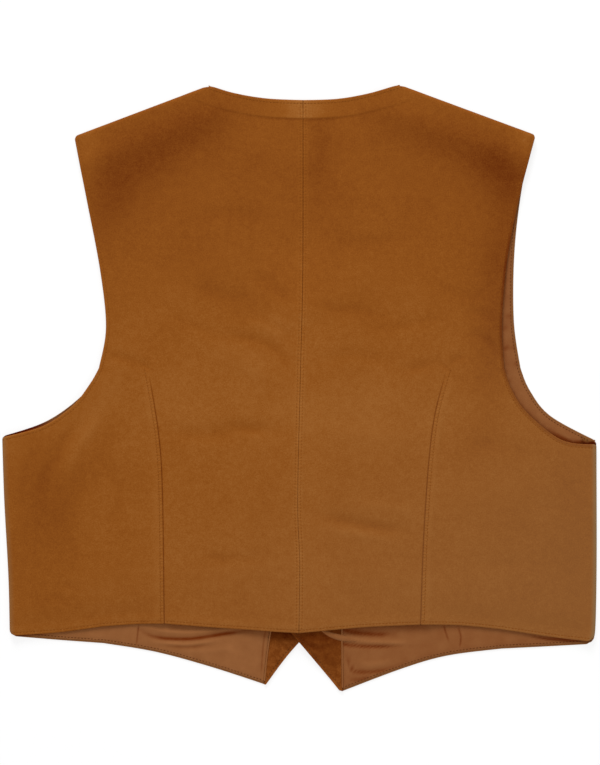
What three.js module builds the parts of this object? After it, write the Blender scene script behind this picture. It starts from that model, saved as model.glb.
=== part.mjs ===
import * as THREE from "three";

// A cropped leather vest laid flat and face down: the fronts lie on the surface, inside up,
// and the two back halves lie over them. Millimetres, +Z up, +Y towards the neck, and +X
// towards the wearer's right side. The origin is under the middle of the outline, on the surface.

// Thicknesses and clearances
const LEATHER = 1.2; // shell panels
const FACING = 1.0; // leather strip down the inside of each front edge
const LINING = 1.0; // lining cloth with its interlining
const SEAM_GAP = 0.3; // between two pieces that are sewn edge to edge
const LAYER_GAP = 0.3; // between two pieces that lie on each other

// Folds at the side and shoulder seams, where the flattened vest turns over
const FOLD_RADIUS = 3.5; // outside radius, so the vest is twice this thick there
const FOLD_HEIGHT = 2 * FOLD_RADIUS;
const FOLD_REACH = 30; // how far in from a fold the back takes its own level again
const FOLD_SHORT = 0.4; // each rolled edge ends this much short of its seam, to keep it clear
const FOLD_CLOTH = (Math.PI / 2 - 1) * FOLD_RADIUS - FOLD_SHORT; // cloth that lies past the outline

// Heights of the back over the surface
const BACK_LEVEL = 6.2; // its upper face, over the flat fronts
const PLACKET_RISE = 4.5; // more, over the lapped and buttoned front edges
const NECK_SAG = 2.2; // less, in the V between the fronts, where nothing carries it
const SHOULDER_CREST = { rise: 1.3, from: 24, width: 14 }; // along the shoulder seams
const SHOULDER_HOLLOW = { rise: -0.7, from: 75, width: 30 }; // below that crest
const GULLY = { depth: 0.5, width: 1.2, reach: 2.5 }; // groove along the middle seam and the darts

// Front closing
const BUTTON = { radius: 9.5, height: 2.4, rim: 1.6, dish: 0.5, corner: 0.5, sides: 20 };
const BUTTON_COUNT = 4;
const BUTTON_TOP_Y = 12;
const BUTTON_PITCH = 67.5;
const LAP = 13; // how far each front reaches past the middle
const BUTTON_LIFT = BUTTON.height + LAYER_GAP; // of the lower front, over the buttons
const LAP_LIFT = LEATHER + FACING + 2 * LAYER_GAP + 0.4; // of the right front, over the left one

// Levels and margins
const YOKE_Y = 18.5; // level of the dart tips, where the lower and upper part of a panel meet
const VEE_Y = 32; // where the front edges turn away from the middle
const HEM_MARGIN = 4; // leather that shows between the lining and the hem
const ARMHOLE_MARGIN = 3; // and between the lining and the armhole
const FOLD_STEPS = [7, 5.5, 4.1, 2.7, 1.3]; // distances of the grid lines from a rolled edge

// Lines of the outline. Columns: x, y. A smooth line runs through each table's points.
const MIDDLE_SEAM = {
  below: [[-0.5, -219.6], [0.2, -155], [-1.6, -100], [1, YOKE_Y]],
  above: [[1, YOKE_Y], [3, 110], [3.2, 259.8]],
};

const BACKS = {
  left: {
    hem: [[-0.5, -219.6], [-60, -216.3], [-121.7, -211.7]],
    hemOuter: [[-121.7, -211.7], [-150, -212.4], [-177, -214.3]],
    hemSide: [[-177, -214.3], [-218, -219.8], [-261, -222.6]],
    side: [[-261, -222.6], [-262.2, -170], [-266, -100], [-267.8, -44.4]],
    underarm: [[-267.8, -44.4], [-231.8, -35.3], [-203.9, -16.7], [-188, 5], [-180.5, YOKE_Y]],
    armhole: [[-180.5, YOKE_Y], [-174.2, 55], [-179.4, 106], [-191.6, 170], [-202.4, 227.3]],
    shoulder: [[-84.2, 272], [-202.4, 227.3]],
    neck: [[3.2, 259.8], [-30, 261.4], [-60, 266.4], [-84.2, 272]],
    dart: [[-121.7, -211.7], [-123.2, -97.7], [-126.6, -42], [-136.4, YOKE_Y]],
  },
  right: {
    hem: [[-0.5, -219.6], [52.1, -215.2], [108.9, -212.6]],
    hemOuter: [[108.9, -212.6], [145, -213.4], [182, -217]],
    hemSide: [[182, -217], [232.9, -224.6], [264, -228]],
    side: [[264, -228], [266.6, -214], [267.7, -150], [267.5, -50.4]],
    underarm: [[267.5, -50.4], [236.3, -46.4], [204.8, -21.6], [191, -1], [184.4, YOKE_Y]],
    armhole: [[184.4, YOKE_Y], [182.3, 57.2], [186.8, 113.9], [198.5, 174.2], [212.4, 228.4]],
    shoulder: [[92.3, 272.8], [212.4, 228.4]],
    neck: [[3.2, 259.8], [35, 261.1], [65, 266.4], [92.3, 272.8]],
    dart: [[108.9, -212.6], [112.6, -118], [120, -34], [133, YOKE_Y]],
  },
};

const FRONTS = {
  left: {
    cutaway: [[-30.3, -267.1], [-10.9, -241], [LAP, -213.8]],
    placket: [[LAP, -213.8], [LAP, YOKE_Y]],
    vee: [[LAP, YOKE_Y], [LAP - 0.6, VEE_Y], [-2, 74], [-62, 226], [-84.2, 272]],
    facingLow: [[-33.1, -266.6], [-29.5, -213.8]],
    facing: [[-29.5, -213.8], [-33, -100], [-36, YOKE_Y]],
    facingHigh: [[-36, YOKE_Y], [-50, 74], [-106, 216], [-121, 258.1]],
    point: [[-30.3, -267.1], [-33.1, -266.6]],
    hem: [[-33.1, -266.6], [-80.2, -251.1], [-130, -237.6], [-177, -229.8]],
    hemSide: [[-177, -229.8], [-218, -226.8], [-261, -223.1]],
    side: [[-261, -223.1], [-262.2, -170], [-266, -100], [-267.8, -43.6]],
    underarm: [[-267.8, -43.6], [-228.5, -29.6], [-196, -6], [-178.6, YOKE_Y]],
    armhole: [[-178.6, YOKE_Y], [-171.6, 60], [-176, 118], [-190, 180], [-202.4, 227.3]],
    shoulder: [[-84.2, 272], [-121, 258.1], [-202.4, 227.3]],
  },
  right: {
    cutaway: [[35.9, -272.3], [12.6, -243.6], [-LAP, -213.2]],
    placket: [[-LAP, -213.2], [-LAP, YOKE_Y]],
    vee: [[-LAP, YOKE_Y], [0.6 - LAP, VEE_Y], [4, 74], [68, 226], [92.3, 272.8]],
    facingLow: [[38.9, -273], [37.6, -213.2]],
    facing: [[37.6, -213.2], [38, -100], [38, YOKE_Y]],
    facingHigh: [[38, YOKE_Y], [53, 74], [112, 216], [129, 259.4]],
    point: [[35.9, -272.3], [38.9, -273]],
    hem: [[38.9, -273], [94.1, -252.2], [133.7, -241], [182, -234.8]],
    hemSide: [[182, -234.8], [222, -232.8], [264, -230.4]],
    side: [[264, -230.4], [266.6, -214], [267.7, -150], [267.5, -48.2]],
    underarm: [[267.5, -48.2], [226.4, -24.8], [207.4, -1], [199.4, YOKE_Y]],
    armhole: [[199.4, YOKE_Y], [193.4, 62], [194.2, 126.5], [202, 188], [212.4, 228.4]],
    shoulder: [[92.3, 272.8], [129, 259.4], [212.4, 228.4]],
  },
};

// Soft folds of the back. Columns: middle x, y, turn from +X in degrees, half length, half width, rise.
const BACK_FOLDS = [
  [-212, -60, 80, 60, 13, 0.9],
  [-236, -120, 84, 70, 11, -0.7],
  [-40, 66, -32, 46, 12, -0.6],
  [34, 66, 24, 42, 12, -0.5],
  [-44, 20, -28, 44, 10, 0.6],
  [-100, 100, 20, 60, 22, 0.6],
  [86, 92, -14, 62, 20, 0.5],
  [-60, -38, 2, 52, 9, -0.6],
  [64, -42, -4, 44, 10, 0.5],
  [58, -122, -12, 50, 10, -0.6],
  [-70, -166, 8, 50, 13, 0.5],
  [64, -172, -6, 54, 13, 0.5],
  [176, -96, 10, 52, 18, 0.5],
  [-176, -172, 14, 44, 16, 0.5],
  [174, 120, 78, 60, 16, -0.5],
  [-168, 10, 60, 34, 12, 0.6],
];

// Soft folds of the linings, in the same columns.
const LINING_FOLDS = [
  [-92, -221, 3, 46, 5, 1.3],
  [-104, -229, -4, 52, 4, 1.0],
  [76, -224, -9, 40, 5, 1.3],
  [96, -238, -16, 44, 4, 0.9],
  [60, -250, 4, 24, 4, 0.7],
  [180, -200, 2, 40, 6, 0.9],
];

// Finishes
const SUEDE = { color: 0x8f5421, roughness: 0.9, metalness: 0 };
const SUEDE_INSIDE = { color: 0x6e3610, roughness: 0.95, metalness: 0 };
const CLOTH = { color: 0x8b5932, roughness: 0.7, metalness: 0 };
const HORN = { color: 0x3b2414, roughness: 0.35, metalness: 0 };

const { clamp, degToRad, lerp, smoothstep } = THREE.MathUtils;

// One up to `full`, zero from `none` on, and a smooth step between them.
const falloff = (value, full, none) => 1 - smoothstep(value, full, none);

const bell = (distance, width) => Math.exp(-((distance / width) ** 2));

// A smooth line through a table's points.
class SeamLine {
  constructor(points) {
    this.points = points;
    this.curve = new THREE.SplineCurve(points);
    this.fine = this.curve.getPoints(40);
  }

  static through(table) {
    return new SeamLine(table.map(([x, y]) => new THREE.Vector2(x, y)));
  }

  get start() {
    return this.points[0];
  }

  get end() {
    return this.points.at(-1);
  }

  // The point at a share of the line's length.
  at(share) {
    return this.curve.getPointAt(clamp(share, 0, 1));
  }

  // Where the line stands at a level y, and past its ends as at the nearer end.
  xAt(y) {
    const upwards = this.end.y > this.start.y;
    const next = this.fine.findIndex((p) => (upwards ? p.y >= y : p.y <= y));
    if (next < 0) return this.end.x;
    if (next === 0) return this.start.x;
    const [p, q] = [this.fine[next - 1], this.fine[next]];
    return lerp(p.x, q.x, (y - p.y) / (q.y - p.y));
  }

  // The direction square to the straight line between the ends, on its upper side.
  get normal() {
    const run = this.end.clone().sub(this.start).normalize();
    const normal = new THREE.Vector2(-run.y, run.x);
    return normal.y < 0 ? normal.negate() : normal;
  }

  // How far a point lies below the straight line between the ends.
  depthOf(point) {
    return -this.normal.dot(point.clone().sub(this.start));
  }

  moved(by) {
    return new SeamLine(this.points.map((p) => p.clone().add(by)));
  }

  // The same line with only its first point, or only its last one, moved.
  startMoved(by) {
    return new SeamLine([this.start.clone().add(by), ...this.points.slice(1)]);
  }

  endMoved(by) {
    return new SeamLine([...this.points.slice(0, -1), this.end.clone().add(by)]);
  }
}

const seamLines = (tables) =>
  Object.fromEntries(Object.entries(tables).map(([name, table]) => [name, SeamLine.through(table)]));

const middleSeam = seamLines(MIDDLE_SEAM);
const backOutline = { left: seamLines(BACKS.left), right: seamLines(BACKS.right) };
const frontOutline = { left: seamLines(FRONTS.left), right: seamLines(FRONTS.right) };

function foldRise(table, x, y) {
  let rise = 0;
  for (const [middleX, middleY, turn, length, width, height] of table) {
    const [dx, dy] = [x - middleX, y - middleY];
    const [cos, sin] = [Math.cos(degToRad(turn)), Math.sin(degToRad(turn))];
    rise += height * bell(dx * cos + dy * sin, length) * bell(dy * cos - dx * sin, width);
  }
  return rise;
}

// How far the front that lies underneath is lifted by the buttons below it.
function buttonLift(x, y) {
  return BUTTON_LIFT * falloff(Math.abs(x), 14, 60) * falloff(-y, 206, 240) * falloff(y, 45, 110);
}

// How far the right front is lifted more, where it laps over the left one.
function lapLift(x, y) {
  return LAP_LIFT * falloff(x, 16, 62) * falloff(-y, 232, 262) * falloff(y, 68, 122);
}

const frontHeight = {
  left: buttonLift,
  right: (x, y) => buttonLift(x, y) + lapLift(x, y),
};

// The back's upper face over the surface, before the grooves of its seams.
function backHeight(outline, x, y) {
  const fromMiddle = Math.abs(x);
  const fromSide = Math.abs(outline.side.xAt(y)) - fromMiddle;
  const fromShoulder = outline.shoulder.depthOf(new THREE.Vector2(x, y));
  const neckPoint = outline.shoulder.start;
  const placket = falloff(x, 16, 70) * falloff(-x, 15, 50) * falloff(-y, 210, 262) * falloff(y, 66, 134);
  const veeHalfWidth = (Math.abs(neckPoint.x) * (y - VEE_Y)) / (neckPoint.y - VEE_Y);
  const shoulderRise = [SHOULDER_CREST, SHOULDER_HOLLOW]
    .reduce((sum, { rise, from, width }) => sum + rise * bell(fromShoulder - from, width), 0);
  const level = BACK_LEVEL + PLACKET_RISE * placket
    - NECK_SAG * smoothstep(veeHalfWidth - fromMiddle, 0, 45)
    + shoulderRise * smoothstep(fromMiddle, 30, 90)
    + foldRise(BACK_FOLDS, x, y);
  const nearSide = y < YOKE_Y ? falloff(fromSide, 5, FOLD_REACH) : 0;
  const nearShoulder = falloff(fromShoulder, 5, FOLD_REACH) * smoothstep(fromMiddle, 60, 82);
  return lerp(level, FOLD_HEIGHT, Math.max(nearSide, nearShoulder));
}

function gullyDepth(outline, x, y) {
  const below = y < YOKE_Y;
  const seam = bell(x - middleSeam[below ? "below" : "above"].xAt(y), GULLY.width);
  const dart = below ? bell(x - outline.dart.xAt(y), GULLY.width) : 0;
  return GULLY.depth * (seam + dart);
}

// Rolls a point of the flat cloth over the side or the shoulder fold. Gives its place in plan, and
// how far it has come down from the fold's top, or up from its foot.
function roll(outline, flat) {
  const sign = Math.sign(outline.side.start.x);
  const pastSide = flat.y < YOKE_Y ? sign * flat.x - Math.abs(outline.side.xAt(flat.y)) + FOLD_RADIUS : 0;
  const pastShoulder = FOLD_RADIUS - outline.shoulder.depthOf(flat);
  const onSide = pastSide > 0;
  const past = onSide ? pastSide : pastShoulder;
  if (past <= 0) return { place: flat, drop: 0 };
  const outwards = onSide ? new THREE.Vector2(sign, 0) : outline.shoulder.normal;
  const angle = Math.min(past / FOLD_RADIUS, Math.PI / 2);
  return {
    place: flat.clone().addScaledVector(outwards, FOLD_RADIUS * Math.sin(angle) - past),
    drop: FOLD_RADIUS * (1 - Math.cos(angle)),
  };
}

// A panel's lines as its cloth lies before it is folded: the side and the shoulder moved outwards.
function unfolded(outline) {
  const sideways = new THREE.Vector2(Math.sign(outline.side.start.x) * FOLD_CLOTH, 0);
  const upwards = outline.shoulder.normal.multiplyScalar(FOLD_CLOTH);
  return {
    ...outline,
    hemSide: outline.hemSide.endMoved(sideways),
    side: outline.side.moved(sideways),
    underarm: outline.underarm.startMoved(sideways),
    armhole: outline.armhole.endMoved(upwards),
    shoulder: outline.shoulder.moved(upwards),
    neck: outline.neck?.endMoved(upwards),
    vee: outline.vee?.endMoved(upwards),
    facingHigh: outline.facingHigh?.endMoved(upwards),
  };
}

// Shares of a length: even cells, with more grid lines at set distances from its start and its end.
function gridLines(length, cells, fromStart = [], fromEnd = []) {
  const first = fromStart.at(-1) ?? 0;
  const last = length - (fromEnd[0] ?? 0);
  const even = Array.from({ length: cells + 1 }, (_, i) => lerp(first, last, i / cells));
  const before = fromStart.length ? [0, ...fromStart.slice(0, -1)] : [];
  const after = fromEnd.length ? [...fromEnd.slice(1).map((d) => length - d), length] : [];
  return [...before, ...even, ...after].map((distance) => distance / length);
}

const along = (line) => (share) => line.at(share);
const backAlong = (line) => (share) => line.at(1 - share);
const straight = (a, b) => (share) => a.clone().lerp(b, share);

// Two lines end to end, the first one up to the share `turn`.
const joined = (first, second, turn) => (share) =>
  share < turn ? first.at(share / turn) : second.at((share - turn) / (1 - turn));

// Cells of cloth between four lines, with a grid line at each share. Each cell knows its patch.
function patch(name, { bottom, top, left, right }, columns, rows) {
  const at = (u, v) => {
    const acrossRows = bottom(u).multiplyScalar(1 - v).addScaledVector(top(u), v);
    const acrossColumns = left(v).multiplyScalar(1 - u).addScaledVector(right(v), u);
    const corners = bottom(0).lerp(bottom(1), u).multiplyScalar(1 - v)
      .addScaledVector(top(0).lerp(top(1), u), v);
    return acrossRows.add(acrossColumns).sub(corners);
  };
  const grid = rows.map((v) => columns.map((u) => at(u, v)));
  const [lastColumn, lastRow] = [columns.length - 2, rows.length - 2];
  const cells = [];
  for (let row = 0; row <= lastRow; row++) {
    for (let column = 0; column <= lastColumn; column++) {
      const corners = [
        grid[row][column], grid[row][column + 1], grid[row + 1][column + 1], grid[row + 1][column],
      ];
      cells.push({ name, column, row, lastColumn, lastRow, corners });
    }
  }
  return cells;
}

function backCells(side) {
  const lines = unfolded(backOutline[side]);
  const yokeMiddle = middleSeam.above.start;
  const dartTip = lines.dart.end;
  const neckPoint = lines.neck.end;
  const underarm = lines.armhole.start;
  const rail = straight(lines.hemOuter.end, underarm);
  const upperRail = straight(dartTip, neckPoint);
  const lowerRows = gridLines(235, 11, [HEM_MARGIN]);
  const upperRows = gridLines(225, 9, [], FOLD_STEPS);
  const innerColumns = gridLines(120, 6, [GULLY.reach], [GULLY.reach]);
  const outerColumns = gridLines(60, 4, [GULLY.reach]);
  const sideColumns = gridLines(88, 5, [], FOLD_STEPS);
  const inner = {
    bottom: along(lines.hem), top: straight(yokeMiddle, dartTip),
    left: along(middleSeam.below), right: along(lines.dart),
  };
  const outer = {
    bottom: along(lines.hemOuter), top: straight(dartTip, underarm), left: along(lines.dart), right: rail,
  };
  const flank = {
    bottom: along(lines.hemSide), top: backAlong(lines.underarm), left: rail, right: along(lines.side),
  };
  const neck = {
    bottom: straight(yokeMiddle, dartTip), top: along(lines.neck),
    left: along(middleSeam.above), right: upperRail,
  };
  const shoulder = {
    bottom: straight(dartTip, underarm), top: along(lines.shoulder),
    left: upperRail, right: along(lines.armhole),
  };
  return [
    ...patch("inner", inner, innerColumns, lowerRows),
    ...patch("outer", outer, outerColumns, lowerRows),
    ...patch("flank", flank, sideColumns, lowerRows),
    ...patch("neck", neck, innerColumns, upperRows),
    ...patch("shoulder", shoulder, outerColumns, upperRows),
  ];
}

function frontCells(side) {
  const lines = unfolded(frontOutline[side]);
  const edgeTop = lines.placket.end;
  const facingTop = lines.facing.end;
  const underarm = lines.armhole.start;
  const [neckPoint, facingShoulder, shoulderTip] = lines.shoulder.points;
  const turn = (lines.placket.start.y - lines.cutaway.start.y) / (YOKE_Y - lines.cutaway.start.y);
  const edge = joined(lines.cutaway, lines.placket, turn);
  const facing = joined(lines.facingLow, lines.facing, turn);
  const rail = straight(lines.hem.end, underarm);
  const cutawayRows = gridLines(60, 4, [HEM_MARGIN]).map((share) => share * turn);
  const placketRows = gridLines(230, 9, [], [ARMHOLE_MARGIN]).slice(1).map((share) => lerp(turn, 1, share));
  const lowerRows = [...cutawayRows, ...placketRows];
  const upperRows = gridLines(250, 9, [], FOLD_STEPS);
  const facingColumns = gridLines(40, 3);
  const bodyColumns = gridLines(140, 6, [], [ARMHOLE_MARGIN]);
  const sideColumns = gridLines(84, 5, [], FOLD_STEPS);
  const strip = {
    bottom: along(lines.point), top: straight(edgeTop, facingTop), left: edge, right: facing,
  };
  const body = {
    bottom: along(lines.hem), top: straight(facingTop, underarm), left: facing, right: rail,
  };
  const flank = {
    bottom: along(lines.hemSide), top: backAlong(lines.underarm), left: rail, right: along(lines.side),
  };
  const upperStrip = {
    bottom: straight(edgeTop, facingTop), top: straight(neckPoint, facingShoulder),
    left: along(lines.vee), right: along(lines.facingHigh),
  };
  const upperBody = {
    bottom: straight(facingTop, underarm), top: straight(facingShoulder, shoulderTip),
    left: along(lines.facingHigh), right: along(lines.armhole),
  };
  return [
    ...patch("strip", strip, facingColumns, lowerRows),
    ...patch("body", body, bodyColumns, lowerRows),
    ...patch("flank", flank, sideColumns, lowerRows),
    ...patch("upperStrip", upperStrip, facingColumns, upperRows),
    ...patch("upperBody", upperBody, bodyColumns, upperRows),
  ];
}

// Which of a front's cells a layer covers, by the patch's name. The lining leaves a margin of one
// cell at the hem and the armhole, and the lining and the facing leave the rolled cells free.
const belowFold = ({ row, lastRow }) => row <= lastRow - FOLD_STEPS.length;
const everywhere = () => true;
const SHELL = {
  strip: everywhere, body: everywhere, flank: everywhere, upperStrip: everywhere, upperBody: everywhere,
};
const FACED = { strip: everywhere, upperStrip: belowFold };
const LINED = {
  body: ({ column, row, lastColumn, lastRow }) => row > 0 && (row < lastRow || column < lastColumn),
  flank: ({ column, row, lastColumn, lastRow }) =>
    row > 0 && row < lastRow && column <= lastColumn - FOLD_STEPS.length,
  upperBody: (cell) => cell.column < cell.lastColumn && belowFold(cell),
};
const isCovered = (layer) => (cell) => layer[cell.name]?.(cell) ?? false;

// Joins cells into a net with shared points, each face running anticlockwise as seen from above.
function net(cells) {
  const numbers = new Map();
  const places = [];
  const numberOf = (p) => {
    const key = `${p.x.toFixed(2)} ${p.y.toFixed(2)}`;
    if (!numbers.has(key)) numbers.set(key, places.push(p) - 1);
    return numbers.get(key);
  };
  const faces = cells.map(({ corners }) => {
    const face = corners.map(numberOf);
    const [a, b, , d] = corners;
    return b.clone().sub(a).cross(d.clone().sub(a)) > 0 ? face : face.reverse();
  });
  return { places, faces };
}

// The net's free edges, each in the direction in which its face runs.
function freeEdges(faces) {
  const edges = new Set();
  for (const face of faces) face.forEach((id, k) => edges.add(`${id} ${face[(k + 1) % 4]}`));
  return [...edges].map((key) => key.split(" ").map(Number)).filter(([a, b]) => !edges.has(`${b} ${a}`));
}

// Draws every free edge in by half a seam gap.
function trimmed({ places, faces }) {
  const inwards = new Map();
  for (const [a, b] of freeEdges(faces)) {
    const run = places[b].clone().sub(places[a]).normalize();
    const normal = new THREE.Vector2(-run.y, run.x);
    for (const id of [a, b]) inwards.set(id, [...(inwards.get(id) ?? []), normal]);
  }
  const drawnIn = places.map((place, id) => {
    const normals = inwards.get(id);
    if (!normals) return place;
    const between = normals.reduce((sum, n) => sum.add(n), new THREE.Vector2()).normalize();
    const slant = Math.max(0.5, between.dot(normals[0]));
    return place.clone().addScaledVector(between, SEAM_GAP / 2 / slant);
  });
  return { places: drawnIn, faces };
}

function pointNormals(points, faces) {
  const normals = points.map(() => new THREE.Vector3());
  for (const face of faces) {
    const [a, b, c, d] = face.map((id) => points[id]);
    const normal = c.clone().sub(a).cross(d.clone().sub(b));
    for (const id of face) normals[id].add(normal);
  }
  return normals.map((normal) => normal.normalize());
}

const offset = (points, normals, by) => points.map((p, id) => p.clone().addScaledVector(normals[id], by(p)));

// A closed wall between an upper and a lower layer of points on the same net.
function wall(name, upper, lower, faces, finish) {
  const under = upper.length;
  const triangles = [];
  for (const [a, b, c, d] of faces) {
    triangles.push(a, b, c, a, c, d);
    triangles.push(a + under, c + under, b + under, a + under, d + under, c + under);
  }
  for (const [a, b] of freeEdges(faces)) {
    triangles.push(a, a + under, b + under, a, b + under, b);
  }
  const geometry = new THREE.BufferGeometry();
  geometry.setFromPoints([...upper, ...lower]);
  geometry.setIndex(triangles);
  const mesh = new THREE.Mesh(geometry, new THREE.MeshStandardMaterial(finish));
  mesh.name = name;
  return mesh;
}

function backPanel(side) {
  const outline = backOutline[side];
  const { places, faces } = trimmed(net(backCells(side)));
  const outside = places.map((flat) => {
    const { place, drop } = roll(outline, flat);
    const z = backHeight(outline, place.x, place.y) - gullyDepth(outline, place.x, place.y) - drop;
    return new THREE.Vector3(place.x, place.y, z);
  });
  const inside = offset(outside, pointNormals(outside, faces), () => -LEATHER);
  return wall(`back_${side}`, outside, inside, faces, SUEDE);
}

// One layer of a front: the cells it covers, and how far its two faces lie above the outside leather.
function frontLayer(name, side, layer, { from, thickness, finish, folds = [] }) {
  const outline = frontOutline[side];
  const { places, faces } = trimmed(net(frontCells(side).filter(isCovered(layer))));
  const leatherFace = places.map((flat) => {
    const { place, drop } = roll(outline, flat);
    return new THREE.Vector3(place.x, place.y, frontHeight[side](place.x, place.y) + drop);
  });
  const normals = pointNormals(leatherFace, faces);
  const ripple = ({ x, y }) => Math.max(0, foldRise(folds, x, y));
  const lower = offset(leatherFace, normals, (p) => from + ripple(p));
  const upper = offset(leatherFace, normals, (p) => from + ripple(p) + thickness);
  return wall(name, upper, lower, faces, finish);
}

function frontPieces(side) {
  const from = LEATHER + LAYER_GAP;
  const facing = { from, thickness: FACING, finish: SUEDE_INSIDE };
  const lining = { from, thickness: LINING, finish: CLOTH, folds: LINING_FOLDS };
  return [
    frontLayer(`front_${side}`, side, SHELL, { from: 0, thickness: LEATHER, finish: SUEDE }),
    frontLayer(`facing_${side}`, side, FACED, facing),
    frontLayer(`lining_${side}`, side, LINED, lining),
  ];
}

// A button lying on its dished face, with a flat back.
function button(number) {
  const { radius, height, rim, dish, corner, sides } = BUTTON;
  const profile = [
    [0, dish], [radius - 2 * rim, dish], [radius - rim, 0], [radius - corner, 0], [radius, corner],
    [radius, height - corner], [radius - corner, height], [0, height],
  ].map(([r, z]) => new THREE.Vector2(r, z));
  const mesh = new THREE.Mesh(new THREE.LatheGeometry(profile, sides), new THREE.MeshStandardMaterial(HORN));
  mesh.rotation.x = Math.PI / 2;
  mesh.position.y = BUTTON_TOP_Y - BUTTON_PITCH * (number - 1);
  mesh.name = `button_${number}`;
  return mesh;
}

const vest = new THREE.Group();
for (const side of ["left", "right"]) vest.add(backPanel(side), ...frontPieces(side));
for (let number = 1; number <= BUTTON_COUNT; number++) vest.add(button(number));

export default vest;
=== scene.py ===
"""Dresses a cropped suede vest that lies flat and face down.

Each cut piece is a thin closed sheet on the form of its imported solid, with its seams, turned
edges, stitches, folds and creases. Sizes are in millimetres and become metres when a mesh is
made. +Z is up, +Y runs to the neck and +X to the wearer's right side.
"""

import logging
import math
from collections.abc import Callable, Iterable, Sequence
from dataclasses import dataclass, field
from enum import Enum
from functools import cached_property

import bpy
import numpy as np
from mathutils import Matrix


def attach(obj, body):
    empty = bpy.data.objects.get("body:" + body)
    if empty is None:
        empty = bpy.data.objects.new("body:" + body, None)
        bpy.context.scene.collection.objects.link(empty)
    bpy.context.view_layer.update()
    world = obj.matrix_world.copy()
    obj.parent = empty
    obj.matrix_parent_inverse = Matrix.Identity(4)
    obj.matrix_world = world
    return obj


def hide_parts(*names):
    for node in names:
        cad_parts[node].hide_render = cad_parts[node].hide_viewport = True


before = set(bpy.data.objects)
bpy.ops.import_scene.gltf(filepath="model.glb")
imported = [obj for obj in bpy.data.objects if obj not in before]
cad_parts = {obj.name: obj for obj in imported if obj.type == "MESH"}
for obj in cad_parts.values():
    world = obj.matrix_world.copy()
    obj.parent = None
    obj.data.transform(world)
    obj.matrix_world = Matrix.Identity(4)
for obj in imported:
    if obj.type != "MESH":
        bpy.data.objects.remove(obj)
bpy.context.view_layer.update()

MM = 0.001
log = logging.getLogger("vest")

# Thicknesses and clearances
LEATHER = 1.2
TURNED = 0.8  # what a turned edge adds to the leather, on its inside
TURN_DEPTH = 9.0
FACING = 1.0
LINING = 0.55
LAYER_GAP = 0.06

# Folds at the side and shoulder seams
FOLD_RADIUS = 3.5
FOLD_HEIGHT = 2 * FOLD_RADIUS
FOLD_REACH = 30.0
FOLD_SHORT = 0.06  # how far a fold's cloth stops short of its seam
FOLD_CLOTH = (math.pi / 2 - 1) * FOLD_RADIUS - FOLD_SHORT

# Heights of the back over the surface
BACK_LEVEL = 6.2
PLACKET_RISE = 4.5
NECK_SAG = 2.2
HEM_DROOP = 1.5  # how far the back's hem hangs down between each dart and the side
SHOULDER_SWELLS = ((1.3, 24.0, 14.0), (-0.7, 75.0, 30.0))  # rise, distance from the seam, width

# Front closing
BUTTON_COUNT = 4
BUTTON_TOP_Y = 12.0
BUTTON_PITCH = 67.5
LAP = 13.0
BUTTON_LIFT = 2.7
LAP_LIFT = 3.2
YOKE_Y = 18.5
VEE_Y = 32.0
VEE_SPREAD = 0.367  # how far each edge of the neck opening leans out on its way up

# Sewing
STITCH_PITCH = 3.0
ALLOWANCE = 4.6  # seam allowance pressed open under the back's middle seam
DART_ALLOWANCE = 7.4  # and pressed to the outer side of each dart
SEAM_STITCH = 2.6  # from the middle seam to the stitches on both sides
DART_STITCH = 3.1
HEM_STITCH = 2.7  # from the hem to its stitches
ARMHOLE_STITCH = 3.1
NECK_BAND = 16.8  # depth of the neck facing, whose edge shows through
ARMHOLE_BAND = 17.0

# What the sewn parts add to the back's height, how far its rows of stitches sink, and how wide
ALLOWANCE_RISE = 0.38
DART_RISE = 0.42
HEM_RISE = 0.22
ARMHOLE_RISE = 0.12
ROW_DIP = 0.10
HEM_DIP = 0.16
ARMHOLE_DIP = 0.12
DIP_WIDTH = 0.5

# How the colour is painted lighter or darker, where 0.5 is a whole shade: painted shade and highlight along
# creases and folds, painted shade at the back's right armhole edge, in the side slits and in the lining's
# furrows, and a painted highlight on the back's left side rim; the back's hem edge and the front's leather
# rim are darker
CREASE_PAINTED_LIGHT = 0.09
FOLD_PAINTED_LIGHT = 0.03
HEM_TONE = -0.10
ARMHOLE_PAINTED_SHADE = -0.24
SIDE_RIM_PAINTED_HIGHLIGHT = 0.12
SLIT_PAINTED_SHADE = -0.45
SHELL_TONE = -0.18
FACING_CREASE_PAINTED_LIGHT = 0.22
LINING_CREASE_PAINTED_LIGHT = 0.14
LINING_FURROW_PAINTED_SHADE = 0.34

Point = tuple[float, float]
Table = Sequence[Point]

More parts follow.
